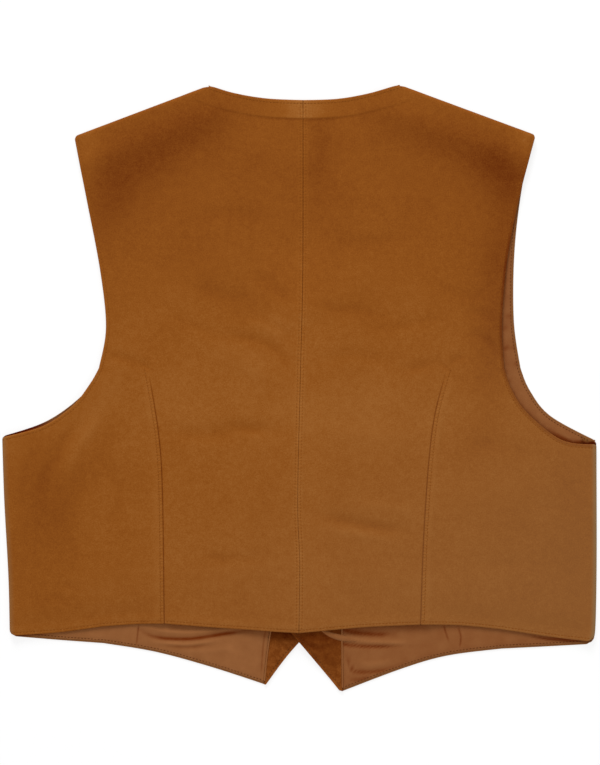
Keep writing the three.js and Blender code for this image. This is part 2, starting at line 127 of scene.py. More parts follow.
MIDDLE_SEAM = {
    "below": ((-0.5, -219.6), (0.2, -155), (-1.6, -100), (1, YOKE_Y)),
    "above": ((1, YOKE_Y), (3, 110), (3.2, 259.8)),
}
BACK_LINES = {
    "left": {
        "hem": ((-0.5, -219.6), (-60, -216.3), (-121.7, -211.7)),
        "hem_outer": ((-121.7, -211.7), (-150, -212.4), (-177, -214.3)),
        "hem_side": ((-177, -214.3), (-218, -219.8), (-261, -222.6)),
        "side": ((-261, -222.6), (-262.2, -170), (-266, -100), (-267.8, -44.4)),
        "underarm": ((-267.8, -43.9), (-231.8, -33.8), (-204.2, -15.4), (-188, 5.2), (-180.5, YOKE_Y)),
        "armhole": ((-180.5, YOKE_Y), (-174.2, 55), (-179.4, 106), (-191.6, 170), (-202.4, 227.3)),
        "shoulder": ((-84.2, 272), (-202.4, 227.3)),
        "neck": ((3.2, 259.8), (-30, 261.4), (-60, 266.4), (-84.2, 272)),
        "dart": ((-121.7, -211.7), (-123.2, -97.7), (-126.6, -42), (-136.4, YOKE_Y)),
    },
    "right": {
        "hem": ((-0.5, -219.6), (52.1, -215.2), (108.9, -212.6)),
        "hem_outer": ((108.9, -212.6), (145, -213.4), (182, -217)),
        "hem_side": ((182, -217), (232.9, -224.6), (264, -228)),
        "side": ((264, -228), (266.6, -214), (267.7, -150), (267.5, -50.4)),
        "underarm": ((267.5, -50.4), (236.3, -46.4), (204.8, -21.6), (191, -1), (184.4, YOKE_Y)),
        "armhole": ((184.4, YOKE_Y), (182.3, 57.2), (186.8, 113.9), (198.5, 174.2), (212.4, 228.4)),
        "shoulder": ((92.3, 272.8), (212.4, 228.4)),
        "neck": ((3.2, 259.8), (35, 261.1), (65, 266.4), (92.3, 272.8)),
        "dart": ((108.9, -212.6), (112.6, -118), (120, -34), (133, YOKE_Y)),
    },
}
FRONT_LINES = {
    "left": {
        "cutaway": ((-30.3, -267.1), (-10.9, -241), (LAP, -213.8)),
        "placket": ((LAP, -213.8), (LAP, YOKE_Y)),
        "vee": ((LAP, YOKE_Y), (LAP - 0.6, VEE_Y), (-2, 74), (-62, 226), (-84.2, 272)),
        "facing_low": ((-31.9, -266.8), (-28.9, -238), (-25.2, -213.8)),
        "facing": ((-25.2, -213.8), (-33, -100), (-36, YOKE_Y)),
        "facing_high": ((-36, YOKE_Y), (-50, 74), (-106, 216), (-121, 258.1)),
        "point": ((-30.3, -267.1), (-31.9, -266.8)),
        "hem": ((-31.9, -266.8), (-80.2, -251.1), (-130, -237.6), (-177, -229.8)),
        "hem_side": ((-177, -229.8), (-218, -226.8), (-261, -223.1)),
        "side": ((-261, -223.1), (-262.2, -170), (-266, -100), (-267.8, -43.6)),
        "underarm": ((-267.8, -43.6), (-228.5, -29.6), (-196, -6), (-178.6, YOKE_Y)),
        "armhole": ((-178.6, YOKE_Y), (-171.6, 60), (-176, 118), (-190, 180), (-202.4, 227.3)),
        "shoulder": ((-84.2, 272), (-121, 258.1), (-202.4, 227.3)),
    },
    "right": {
        "cutaway": ((35.9, -272.3), (12.6, -243.6), (-LAP, -213.2)),
        "placket": ((-LAP, -213.2), (-LAP, YOKE_Y)),
        "vee": ((-LAP, YOKE_Y), (0.6 - LAP, VEE_Y), (4, 74), (68, 226), (92.3, 272.8)),
        "facing_low": ((38.9, -273), (37.6, -213.2)),
        "facing": ((37.6, -213.2), (38, -100), (38, YOKE_Y)),
        "facing_high": ((38, YOKE_Y), (53, 74), (112, 216), (129, 259.4)),
        "point": ((35.9, -272.3), (38.9, -273)),
        "hem": ((38.9, -273), (94.1, -252.2), (133.7, -241), (182, -234.8)),
        "hem_side": ((182, -234.8), (222, -232.8), (264, -230.4)),
        "side": ((264, -230.4), (266.6, -214), (267.7, -150), (267.5, -48.2)),
        "underarm": ((267.5, -48.2), (226.4, -24.8), (207.4, -1), (199.4, YOKE_Y)),
        "armhole": ((199.4, YOKE_Y), (193.4, 62), (194.2, 126.5), (202, 188), (212.4, 228.4)),
        "shoulder": ((92.3, 272.8), (129, 259.4), (212.4, 228.4)),
    },
}

# Soft folds of the back: middle x, y, turn from +X in degrees, half length, half width, rise.
BACK_FOLDS = (
    (-212, -60, 80, 60, 13, 0.9),
    (-236, -120, 84, 70, 14, -0.5),
    (-40, 66, -32, 46, 12, -0.6),
    (34, 66, 24, 42, 12, -0.5),
    (-44, 20, -28, 44, 10, 0.6),
    (-100, 100, 20, 60, 22, 0.6),
    (86, 92, -14, 62, 20, 0.5),
    (-60, -38, 2, 52, 9, -0.6),
    (64, -42, -4, 44, 10, 0.5),
    (58, -122, -12, 50, 10, -0.6),
    (-70, -166, 8, 50, 13, 0.5),
    (64, -172, -6, 54, 13, 0.5),
    (176, -96, 10, 52, 18, 0.5),
    (-176, -172, 14, 44, 16, 0.5),
    (174, 120, 78, 60, 16, -0.5),
    (-168, 10, 60, 34, 12, 0.6),
)

# How much lighter or darker the colour is painted, in the same columns as the folds: mostly painted shade
# and highlight, with shade on the shoulders, above the yoke and on the flanks and more light towards the
# hem, and some patches of nap.
BACK_PAINTED_SHADE_AND_NAP = (
    (-100, 232, 36, 60, 24, -0.17),
    (-160, 196, 66, 58, 34, -0.14),
    (-178, 150, 80, 50, 18, -0.06),
    (120, 226, -22, 70, 20, -0.14),
    (186, 196, -30, 40, 26, -0.20),
    (182, 110, 84, 90, 16, -0.12),
    (-188, 222, 82, 36, 9, 0.07),
    (202, 222, 66, 30, 11, 0.12),
    (-99, 111, 0, 60, 45, -0.04),
    (160, 150, 84, 60, 22, -0.04),
    (18, 180, 86, 60, 14, -0.03),
    (20, 222, 84, 34, 12, -0.06),
    (170, 30, 84, 80, 24, -0.07),
    (0, 50, 0, 220, 30, 0.03),
    (-224, -106, 76, 80, 30, -0.10),
    (-176, -52, 56, 44, 10, -0.05),
    (-190, -26, 50, 30, 8, 0.05),
    (0, 190, 0, 260, 80, -0.08),
    (0, -16, 0, 240, 40, 0.07),
    (0, -130, 0, 200, 110, 0.05),
    (250, -150, 90, 90, 22, -0.06),
)


class Side(Enum):
    """A side of the vest, as it is worn turned to the camera's left or right."""

    LEFT = "left"
    RIGHT = "right"

    @property
    def sign(self) -> int:
        """The sign of X on this side."""
        return -1 if self is Side.LEFT else 1


def smoothstep(value: np.ndarray, low: float, high: float) -> np.ndarray:
    """Gives 0 up to low, 1 from high on, and a smooth step between them."""
    share = np.clip((value - low) / (high - low), 0, 1)
    return share * share * (3 - 2 * share)


def falloff(value: np.ndarray, full: float, none: float) -> np.ndarray:
    """Gives 1 up to full, 0 from none on, and a smooth step between them."""
    return 1 - smoothstep(value, full, none)


def bell(distance: np.ndarray, width: float) -> np.ndarray:
    """Gives 1 at no distance, and less with distance in a bell of that half width."""
    return np.exp(-((distance / width) ** 2))


def soft_sum(table: Iterable[Sequence[float]], places: np.ndarray) -> np.ndarray:
    """Adds up soft oval hills.

    Args:
        table: Rows of middle x, y, turn in degrees, half length, half width and height.
        places: Points in plan, one row each.

    Returns:
        The height at each point.
    """
    total = np.zeros(len(places))
    for middle_x, middle_y, turn, length, width, height in table:
        dx, dy = places[:, 0] - middle_x, places[:, 1] - middle_y
        cos, sin = math.cos(math.radians(turn)), math.sin(math.radians(turn))
        total += height * bell(dx * cos + dy * sin, length) * bell(dy * cos - dx * sin, width)
    return total


def distance_to(points: np.ndarray, places: np.ndarray, closed_pairs: bool = False) -> np.ndarray:
    """Measures how far places lie from a line or from loose segments.

    Args:
        points: The line's points, or the segments' ends in pairs.
        places: Points in plan, one row each.
        closed_pairs: Whether points holds segments in pairs and not one line.

    Returns:
        The distance of each place.
    """
    starts, ends = (points[0::2], points[1::2]) if closed_pairs else (points[:-1], points[1:])
    runs = ends - starts
    squares = np.maximum((runs**2).sum(1), 1e-12)
    nearest = []
    for part in np.array_split(places, len(places) // 2000 + 1):
        apart = part[:, None] - starts[None]
        share = np.clip((apart * runs).sum(2) / squares, 0, 1)
        gap = apart - share[..., None] * runs
        nearest.append(np.sqrt((gap**2).sum(2).min(1)))
    return np.concatenate(nearest)


@dataclass(frozen=True)
class Crease:
    """A fold along a line: a ridge with a positive rise, a crease with a negative one."""

    points: Table
    width: float
    rise: float

    def lift(self, places: np.ndarray) -> np.ndarray:
        """Gives what the fold adds to the height.

        Args:
            places: Points in plan, one row each.

        Returns:
            The added height at each point, which fades out at the line's ends.
        """
        line = SeamLine(self.points)
        near = distance_to(line.fine, places)
        ends = line.fine[[0, -1]]
        from_end = np.linalg.norm(places[:, None] - ends[None], axis=2).min(1)
        fade = smoothstep(from_end, 0.0, 0.3 * line.length)
        least = 0.15  # of the rise, at the line's very ends
        return self.rise * bell(near, self.width) * (least + (1 - least) * fade)


def crease_sum(creases: Iterable[Crease], places: np.ndarray) -> np.ndarray:
    """Adds up the lifts of several creases at each place."""
    total = np.zeros(len(places))
    for crease in creases:
        total += crease.lift(places)
    return total


def crease_rows(rows: Iterable[tuple[Table, float, float]]) -> tuple[Crease, ...]:
    """Makes a crease of each row of points, width and rise."""
    return tuple(Crease(*row) for row in rows)


# Finer creases of the back
BACK_CREASES = crease_rows((
    (((-146, 24), (-140, 21.4), (-133.9, 16.6)), 1.9, -0.8),
    (((-172, 30), (-158, 27), (-144, 21.5)), 4.0, -0.8),
    (((124, 25.5), (129.5, 20.5), (133, 17)), 1.8, -0.7),
    (((132.5, 18.5), (141, 26.5), (152, 30)), 2.0, -0.8),
    (((92, 17), (110, 20), (125, 24.5)), 4.2, -0.6),
    (((-192, -22), (-214, -50), (-230, -80), (-240, -108)), 6.5, -0.8),
    (((-178, -22), (-198, -52), (-212, -82)), 6.0, 0.8),
    (((-234, -44), (-246, -76), (-252, -112)), 5.0, -0.35),
    (((-216, -176), (-204, -178), (-196, -181)), 2.2, -0.5),
    (((-226, -186), (-214, -190), (-208, -197)), 2.6, -0.5),
    (((-66, -33), (-44, -35), (-24, -40)), 3.0, -0.45),
    (((-66, -41), (-46, -43), (-30, -46)), 3.0, 0.4),
    (((-126, -33), (-96, -42), (-64, -40), (-20, -36)), 6.0, -0.5),
    (((-92, -150), (-58, -154), (-26, -150)), 5.0, -0.5),
    (((18, -113), (40, -119), (64, -124), (98, -128)), 4.4, -1.0),
    (((26, -124), (50, -130), (84, -135)), 4.0, 0.55),
    (((50, -104), (80, -107), (108, -112)), 5.0, 0.4),
    (((-72, 50), (-52, 46), (-30, 40), (-14, 28), (-3, 22)), 4.0, -0.8),
    (((-52, 60), (-30, 54), (-8, 40)), 4.6, 0.6),
    (((-44, 104), (-24, 94), (-4, 76)), 5.2, -0.6),
    (((-98, 94), (-66, 84), (-40, 82)), 6.0, -0.5),
    (((-118, 70), (-96, 56), (-70, 46)), 5.0, -0.45),
    (((-28, 66), (-14, 58), (-4, 52)), 4.0, 0.5),
    (((8, 82), (30, 72), (54, 70), (92, 62)), 5.0, -0.55),
    (((52, 62), (76, 54), (104, 58), (132, 66)), 5.0, -0.5),
    (((10, 22), (48, 30), (88, 22)), 5.4, -0.45),
    (((28, 136), (56, 130), (96, 138)), 7.0, -0.5),
    (((-100, 152), (-60, 158), (-24, 150)), 7.0, -0.45),
    (((120, 96), (146, 84), (172, 86)), 6.0, -0.5),
    (((150, 52), (168, 44), (184, 28)), 4.6, -0.7),
    (((142, 70), (160, 68), (178, 60)), 4.6, -0.5),
    (((180, 66), (186, 30), (202, 4), (226, -20)), 5.0, -0.6),
    (((238, -84), (252, -98), (262, -104)), 2.0, -0.6),
    (((240, -86), (254, -84), (262, -92)), 2.0, -0.5),
    (((206, -104), (236, -108), (264, -107)), 1.8, -0.35),
    (((150, -46), (180, -52), (214, -58)), 6.0, -0.45),
    (((140, -150), (176, -158), (214, -152)), 7.0, -0.4),
    (((-176, -60), (-162, -96), (-166, -130)), 7.0, -0.45),
))

LINING_CREASES = {
    "left": crease_rows((
        (((-144.7, -210), (-146, -222), (-147.4, -234)), 0.7, -0.5),
        (((-144, -214), (-125, -218.2), (-101, -219.6), (-70, -217.4), (-36, -213.5)), 1.9, 1.0),
        (((-146, -216.8), (-129, -224.2), (-101, -225.8), (-72, -222), (-42, -217.2)), 1.6, -1.1),
        (((-138, -227), (-118, -229.8), (-98, -230.2), (-66, -225)), 1.8, 0.9),
        (((-126, -231.6), (-100, -233), (-78, -230.4)), 1.7, -0.4),
        (((-110, -236), (-84, -237), (-60, -232)), 2.2, 0.4),
        (((-70, -231), (-60, -238), (-58, -247)), 3.0, 0.35),
        (((-35, -263), (-33.2, -238), (-31.6, -224), (-29.4, -213)), 0.75, -0.45),
        (((-37.4, -258), (-36, -238), (-34.8, -222)), 0.6, -0.3),
    )),
    "right": crease_rows((
        (((28, -219), (40, -223.6), (52, -226.2), (70, -228.6), (104, -229.6)), 1.9, 1.4),
        (((22, -226), (38, -230), (54, -232.2), (74, -232.6), (92, -232)), 1.3, -0.9),
        (((34, -215.6), (50, -220), (66, -221.6), (86, -221.8)), 1.8, -0.9),
        (((58, -213), (80, -216), (104, -216)), 2.0, 0.5),
        (((42, -238), (45.6, -250), (52, -255.4), (72, -254.6), (86, -250)), 1.5, -0.7),
        (((50, -246), (66, -249), (84, -245)), 2.4, 0.7),
        (((44, -262), (54, -262.4), (66, -259)), 1.6, -0.4),
        (((129.5, -211), (131.5, -219), (135.1, -229.4)), 0.8, -0.45),
        (((142.2, -213), (145.4, -223.7), (144.3, -235)), 0.8, -0.45),
        (((204, -222), (228, -226.4), (256, -228.6)), 1.1, -0.7),
        (((183.6, 66.9), (190, 66), (195, 67.4)), 0.8, -0.5),
        (((183.4, 55.2), (190, 53.4), (196, 54.4)), 0.7, -0.4),
        (((183.6, 37.4), (190, 35.6), (197, 36.4)), 0.9, -0.5),
        (((185, 22), (192, 21), (198, 23)), 0.8, -0.3),
    )),
}
FACING_CREASES = {
    "left": crease_rows((
        (((-20, -226), (-12, -232), (-8, -238)), 1.4, -0.5),
        (((-26, -240), (-20, -246), (-19, -252)), 1.6, -0.35),
        (((-10, -220), (-4, -226), (-3, -230)), 1.4, 0.4),
        (((-30, -220), (-18, -218), (0, -222)), 2.0, -0.5),
    )),
    "right": crease_rows((
        (((31, -233.6), (26, -239), (21, -245.6)), 1.2, -0.55),
        (((8, -224), (18, -229), (30, -226)), 1.8, 0.5),
        (((4, -228), (14, -233), (24, -231)), 1.2, -0.5),
        (((29, -246), (33, -254), (34, -262)), 1.4, -0.35),
        (((18, -250), (24, -252), (30, -259)), 1.3, 0.35),
    )),
}


class SeamLine:
    """A smooth line through a table's points."""

    SAMPLES = 24

    def __init__(self, points: Table | np.ndarray) -> None:
        """Samples the line.

        Args:
            points: The points that the line runs through.
        """
        self.points = np.asarray(points, float)
        spans = len(self.points) - 1
        padded = np.vstack([self.points[:1], self.points, self.points[-1:]])
        share = np.linspace(0, 1, self.SAMPLES, endpoint=False)[:, None]
        parts = []
        for span in range(spans):
            before, start, end, after = padded[span : span + 4]
            out, into = (end - before) / 2, (after - start) / 2
            parts.append(
                (2 * start - 2 * end + out + into) * share**3
                + (3 * end - 3 * start - 2 * out - into) * share**2
                + out * share
                + start
            )
        self.fine = np.vstack([*parts, self.points[-1:]])
        runs = np.linalg.norm(np.diff(self.fine, axis=0), axis=1)
        self.reached = np.concatenate([[0.0], np.cumsum(runs)])

    @property
    def length(self) -> float:
        """The line's length."""
        return float(self.reached[-1])

    @property
    def start(self) -> np.ndarray:
        """The line's first point."""
        return self.points[0]

    @property
    def end(self) -> np.ndarray:
        """The line's last point."""
        return self.points[-1]

    @property
    def normal(self) -> np.ndarray:
        """The direction square to the straight line between the ends, on its upper side."""
        run = self.end - self.start
        normal = np.array([-run[1], run[0]]) / np.linalg.norm(run)
        return -normal if normal[1] < 0 else normal

    def at(self, shares: np.ndarray) -> np.ndarray:
        """Gives the points at shares of the line's length."""
        lengths = np.clip(shares, 0, 1) * self.length
        return np.column_stack([np.interp(lengths, self.reached, self.fine[:, k]) for k in (0, 1)])

    def x_at(self, y: np.ndarray) -> np.ndarray:
        """Gives where a rising line stands at levels y, and past its ends the nearer end."""
        return np.interp(y, self.fine[:, 1], self.fine[:, 0])

    def depth_of(self, places: np.ndarray) -> np.ndarray:
        """Gives how far places lie below the straight line between the ends."""
        return -(places - self.start) @ self.normal

    def moved(self, by: np.ndarray, first: bool = True, last: bool = True) -> "SeamLine":
        """Moves the line, or only one end of it.

        Args:
            by: How far it moves, in plan.
            first: Whether the first point moves.
            last: Whether the last point moves. The points between move when both ends do.

        Returns:
            The moved line.
        """
        points = self.points.copy()
        if first and last:
            points += by
        else:
            points[0 if first else -1] += by
        return SeamLine(points)


Lines = dict[str, SeamLine]


def seam_lines(tables: dict[str, Table]) -> Lines:
    """Makes a smooth line of each named table."""
    return {name: SeamLine(table) for name, table in tables.items()}


def unfolded(lines: Lines) -> Lines:
    """Lays the outline as its cloth lies before it is folded over the side and the shoulder."""
    sideways = np.array([np.sign(lines["side"].start[0]) * FOLD_CLOTH, 0.0])
    upwards = lines["shoulder"].normal * FOLD_CLOTH
    laid = dict(lines)
    laid["hem_side"] = lines["hem_side"].moved(sideways, first=False)
    laid["side"] = lines["side"].moved(sideways)
    laid["underarm"] = lines["underarm"].moved(sideways, last=False)
    laid["shoulder"] = lines["shoulder"].moved(upwards)
    for name in ("armhole", "neck", "vee", "facing_high"):
        if name in lines:
            laid[name] = lines[name].moved(upwards, first=False)
    return laid


def roll(lines: Lines, flat: np.ndarray) -> tuple[np.ndarray, np.ndarray]:
    """Rolls flat cloth over the side and the shoulder fold.

    Args:
        lines: The piece's outline, as folded.
        flat: Points of the flat cloth.

    Returns:
        Their places in plan, and how far they have come down from the fold's top.
    """
    sign = np.sign(lines["side"].start[0])
    beyond = sign * flat[:, 0] - np.abs(lines["side"].x_at(flat[:, 1])) + FOLD_RADIUS
    past_side = np.where(flat[:, 1] < YOKE_Y, beyond, 0.0)
    past_shoulder = FOLD_RADIUS - lines["shoulder"].depth_of(flat)
    on_side = past_side > 0
    past = np.maximum(np.where(on_side, past_side, past_shoulder), 0.0)
    outwards = np.where(on_side[:, None], [[sign, 0.0]], lines["shoulder"].normal[None])
    angle = np.minimum(past / FOLD_RADIUS, math.pi / 2)
    place = flat + outwards * (FOLD_RADIUS * np.sin(angle) - past)[:, None]
    return place, FOLD_RADIUS * (1 - np.cos(angle))


@dataclass(frozen=True)
class Corner:
    """A corner of the outline that is rounded off in plan."""

    tip: Point
    along_first: Point
    along_second: Point
    radius: float

    def rounded(self, places: np.ndarray) -> np.ndarray:
        """Rounds the corner.

        Args:
            places: Points in plan, one row each.

        Returns:
            The points, with those near the corner drawn in.
        """
        tip = np.asarray(self.tip, float)
        axes = np.column_stack([
            (np.asarray(end, float) - tip) / np.linalg.norm(np.asarray(end, float) - tip)
            for end in (self.along_first, self.along_second)
        ])
        a, b = np.linalg.solve(axes, (places - tip).T) / self.radius
        outside = 0.3  # how far past the tip a place is still drawn in, in radii
        near = (a < 1) & (b < 1) & (a > -outside) & (b > -outside)
        s, t = np.clip(1 - a, 0, 1 + outside), np.clip(1 - b, 0, 1 + outside)
        inner = np.column_stack([1 - s * np.sqrt(1 - t * t / 2), 1 - t * np.sqrt(1 - s * s / 2)])
        return np.where(near[:, None], tip + self.radius * inner @ axes.T, places)


@dataclass(frozen=True)
class Ruling:
    """Grid lines across a patch: even cells, and closer lines at set distances from its edges."""

    LEAST = 0.05  # lines closer than this are one

    length: float
    cell: float
    from_start: tuple[float, ...] = ()
    from_end: tuple[float, ...] = ()
    extra: tuple[float, ...] = ()

    @cached_property
    def distances(self) -> np.ndarray:
        """The grid lines' distances from the start."""
        first = self.from_start[-1] if self.from_start else 0.0
        last = self.length - (self.from_end[-1] if self.from_end else 0.0)
        even = np.linspace(first, last, max(2, round((last - first) / self.cell) + 1))
        before = [0.0, *self.from_start[:-1]] if self.from_start else []
        after = [self.length - d for d in (*self.from_end[-2::-1], 0.0)] if self.from_end else []
        lines = np.unique(np.concatenate([before, even, after, self.extra]))
        return lines[np.append(True, np.diff(lines) > self.LEAST)]

    @property
    def shares(self) -> np.ndarray:
        """The grid lines as shares of the length."""
        return self.distances / self.length


Edge = Callable[[np.ndarray], np.ndarray]
Field = Callable[[np.ndarray], np.ndarray]


def along(line: SeamLine) -> Edge:
    """A patch's edge that runs along a line."""
    return line.at


def back_along(line: SeamLine) -> Edge:
    """A patch's edge that runs along a line from its end to its start."""
    return lambda shares: line.at(1 - shares)


def straight(a: np.ndarray, b: np.ndarray) -> Edge:
    """A patch's edge that runs straight from a to b."""
    return lambda shares: a + (b - a) * shares[:, None]


def joined(first: SeamLine, second: SeamLine, turn: float) -> Edge:
    """A patch's edge along two lines end to end, the first one up to the share turn."""

    def edge(shares: np.ndarray) -> np.ndarray:
        """Gives the points at the shares."""
        low = first.at(np.minimum(shares / turn, 1))
        high = second.at(np.maximum((shares - turn) / (1 - turn), 0))
        return np.where((shares < turn)[:, None], low, high)

    return edge


@dataclass
class Patch:
    """Cells of cloth between four edges."""

    bottom: Edge
    top: Edge
    left: Edge
    right: Edge
    columns: np.ndarray
    rows: np.ndarray

    def grid(self) -> np.ndarray:
        """Gives the grid's points, as rows of columns of x and y."""
        bottom, top = self.bottom(self.columns), self.top(self.columns)
        left, right = self.left(self.rows), self.right(self.rows)
        u, v = self.columns[None, :, None], self.rows[:, None, None]
        across_rows = bottom[None] * (1 - v) + top[None] * v
        across_columns = left[:, None] * (1 - u) + right[:, None] * u
        low = bottom[0] * (1 - u) + bottom[-1] * u
        high = top[0] * (1 - u) + top[-1] * u
        return across_rows + across_columns - (low * (1 - v) + high * v)

    def cells(self) -> np.ndarray:
        """Gives the cells' corners, one row of four points each."""
        grid = self.grid()
        corners = np.stack([grid[:-1, :-1], grid[:-1, 1:], grid[1:, 1:], grid[1:, :-1]], axis=2)
        return corners.reshape(-1, 4, 2)


class Net:
    """Cells joined at their shared points, each face anticlockwise as seen from above."""

    GRAIN = 0.002  # points closer than this are one
    SHIFT = 0.37  # keeps the grain's steps off round sizes
    OVERHANG = 0.25  # how far outside its field a kept cell may reach
    TRIM_REACH = 0.9  # how far a free edge may move onto its field's zero

    def __init__(self, patches: Iterable[Patch], inside: Field | None = None) -> None:
        """Joins the patches' cells.

        Args:
            patches: The patches.
            inside: How far inside its own edge a place is. Without it every cell is kept.
        """
        cells = np.concatenate([patch.cells() for patch in patches])
        if inside is not None:
            cells = cells[inside(cells.reshape(-1, 2)).reshape(-1, 4).min(1) > -self.OVERHANG]
        points = cells.reshape(-1, 2)
        keys = np.round(points / self.GRAIN + self.SHIFT).astype(np.int64)
        _, first, number = np.unique(keys, axis=0, return_index=True, return_inverse=True)
        self.places = points[first]
        faces = number.reshape(-1, 4)
        a, b, d = cells[:, 0], cells[:, 1], cells[:, 3]
        turn = (b - a)[:, 0] * (d - a)[:, 1] - (b - a)[:, 1] * (d - a)[:, 0]
        self.faces = np.where((turn > 0)[:, None], faces, faces[:, ::-1])
        if inside is not None:
            self._trim(inside)

    @cached_property
    def free_edges(self) -> np.ndarray:
        """The edges that only one face has, each in the direction in which its face runs."""
        edges = np.concatenate([self.faces[:, [k, (k + 1) % 4]] for k in range(4)])
        size = len(self.places)
        ahead, back = edges[:, 0] * size + edges[:, 1], edges[:, 1] * size + edges[:, 0]
        return edges[~np.isin(ahead, back)]

    @cached_property
    def from_edge(self) -> np.ndarray:
        """How far each point lies from the nearest free edge."""
        ends = self.places[self.free_edges].reshape(-1, 2)
        return distance_to(ends, self.places, closed_pairs=True)

    def _trim(self, inside: Field) -> None:
        """Moves free edges that run about along the field's zero onto it."""
        rim = np.unique(self.free_edges)
        places, step = self.places[rim], 0.05
        depth = inside(places)
        slope = np.column_stack([
            (inside(places + by) - inside(places - by)) / (2 * step) for by in ([step, 0.0], [0.0, step])
        ])
        moved = places - slope * (depth / np.maximum((slope**2).sum(1), 0.2))[:, None]
        near = (np.abs(depth) < self.TRIM_REACH)[:, None]
        self.places[rim] = np.where(near, moved, places)

    def normals(self, points: np.ndarray) -> np.ndarray:
        """Gives the upward normal of a surface over the net at each of its points."""
        a, b, c, d = (points[self.faces[:, k]] for k in range(4))
        cross = np.cross(c - a, d - b)
        normals = np.zeros_like(points)
        for k in range(4):
            np.add.at(normals, self.faces[:, k], cross)
        return normals / np.linalg.norm(normals, axis=1)[:, None]


def rounding(from_edge: np.ndarray, thickness: np.ndarray | float) -> np.ndarray:
    """Gives how far each face of a sheet draws back near its edge, so that the edge is round."""
    half = np.asarray(thickness) / 2
    last, wall = 0.03, 0.002  # the round's last step, and what keeps its end from closing
    share = 1 - np.clip(from_edge / half, 0, 1) * (1 - last) - last * (from_edge > half)
    return half * (1 - np.sqrt(np.maximum(1 - np.clip(share, 0, 1) ** 2, wall)))


def new_object(
    name: str, points: np.ndarray, faces: Sequence[Sequence[int]], edges: Sequence[Point] = ()
) -> bpy.types.Object:
    """Makes a mesh object and links it to the scene.

    Args:
        name: Its name, and its mesh's.
        points: Its points, in millimetres.
        faces: Its faces, as numbers of points.
        edges: Its loose edges, as pairs of numbers.

    Returns:
        The new object.
    """
    mesh = bpy.data.meshes.new(name)
    mesh.from_pydata((points * MM).tolist(), edges, faces)
    made = bpy.data.objects.new(name, mesh)
    bpy.context.scene.collection.objects.link(made)
    return made


def apply_modifiers(made: bpy.types.Object) -> None:
    """Turns an object and its modifiers into one plain mesh of its name."""
    before = made.data
    plain = bpy.data.meshes.new_from_object(made.evaluated_get(bpy.context.evaluated_depsgraph_get()))
    made.modifiers.clear()
    made.data = plain
    bpy.data.meshes.remove(before)
    plain.name = made.name


def ring_at(radius: float, middle: Point, level: float, sides: int) -> np.ndarray:
    """Gives a level ring of points, anticlockwise as seen from above."""
    angles = np.arange(sides) * 2 * math.pi / sides
    x, y = middle[0] + radius * np.cos(angles), middle[1] + radius * np.sin(angles)
    return np.column_stack([x, y, np.full(sides, level)])


def band_face(low: int, k: int, sides: int) -> list[int]:
    """Gives side k of the band between the ring that starts at point low and the next ring."""
    after = (k + 1) % sides
    return [low + k, low + after, low + sides + after, low + sides + k]


def tube_faces(rings: int, sides: int, first: int = 0) -> list[list[int]]:
    """Joins rings of points into a closed tube.

    Args:
        rings: How many rings there are.
        sides: How many points a ring has.
        first: The number of the first ring's first point.

    Returns:
        The tube's faces.
    """
    last = first + (rings - 1) * sides
    faces = [list(range(first + sides - 1, first - 1, -1)), list(range(last, last + sides))]
    for low in range(first, last, sides):
        faces += [band_face(low, k, sides) for k in range(sides)]
    return faces


def closed_sheet(
    name: str, upper: np.ndarray, lower: np.ndarray, net: Net, attributes: dict[str, np.ndarray]
) -> bpy.types.Object:
    """Makes a closed sheet between two layers of points on one net.

    Args:
        name: The new object's name.
        upper: The upper layer's points, in millimetres.
        lower: The lower layer's points.
        net: The net that both layers lie on.
        attributes: Numbers for each point of the net, by name, for the materials.

    Returns:
        The new object.
    """
    count = len(upper)
    a, b = net.free_edges.T
    rim = np.column_stack([a, a + count, b + count, b])
    faces = np.concatenate([net.faces, net.faces[:, ::-1] + count, rim])
    made = new_object(name, np.vstack([upper, lower]), faces.tolist())
    made.data.shade_smooth()
    for label, values in attributes.items():
        attribute = made.data.attributes.new(label, "FLOAT", "POINT")
        attribute.data.foreach_set("value", np.tile(values, 2).astype(np.float32))
    return made


# --- Node trees -------------------------------------------------------------------------------


Colour = tuple[float, float, float]


def opaque(colour: Colour) -> tuple[float, float, float, float]:
    """Gives a colour with full alpha."""
    return (*colour, 1.0)


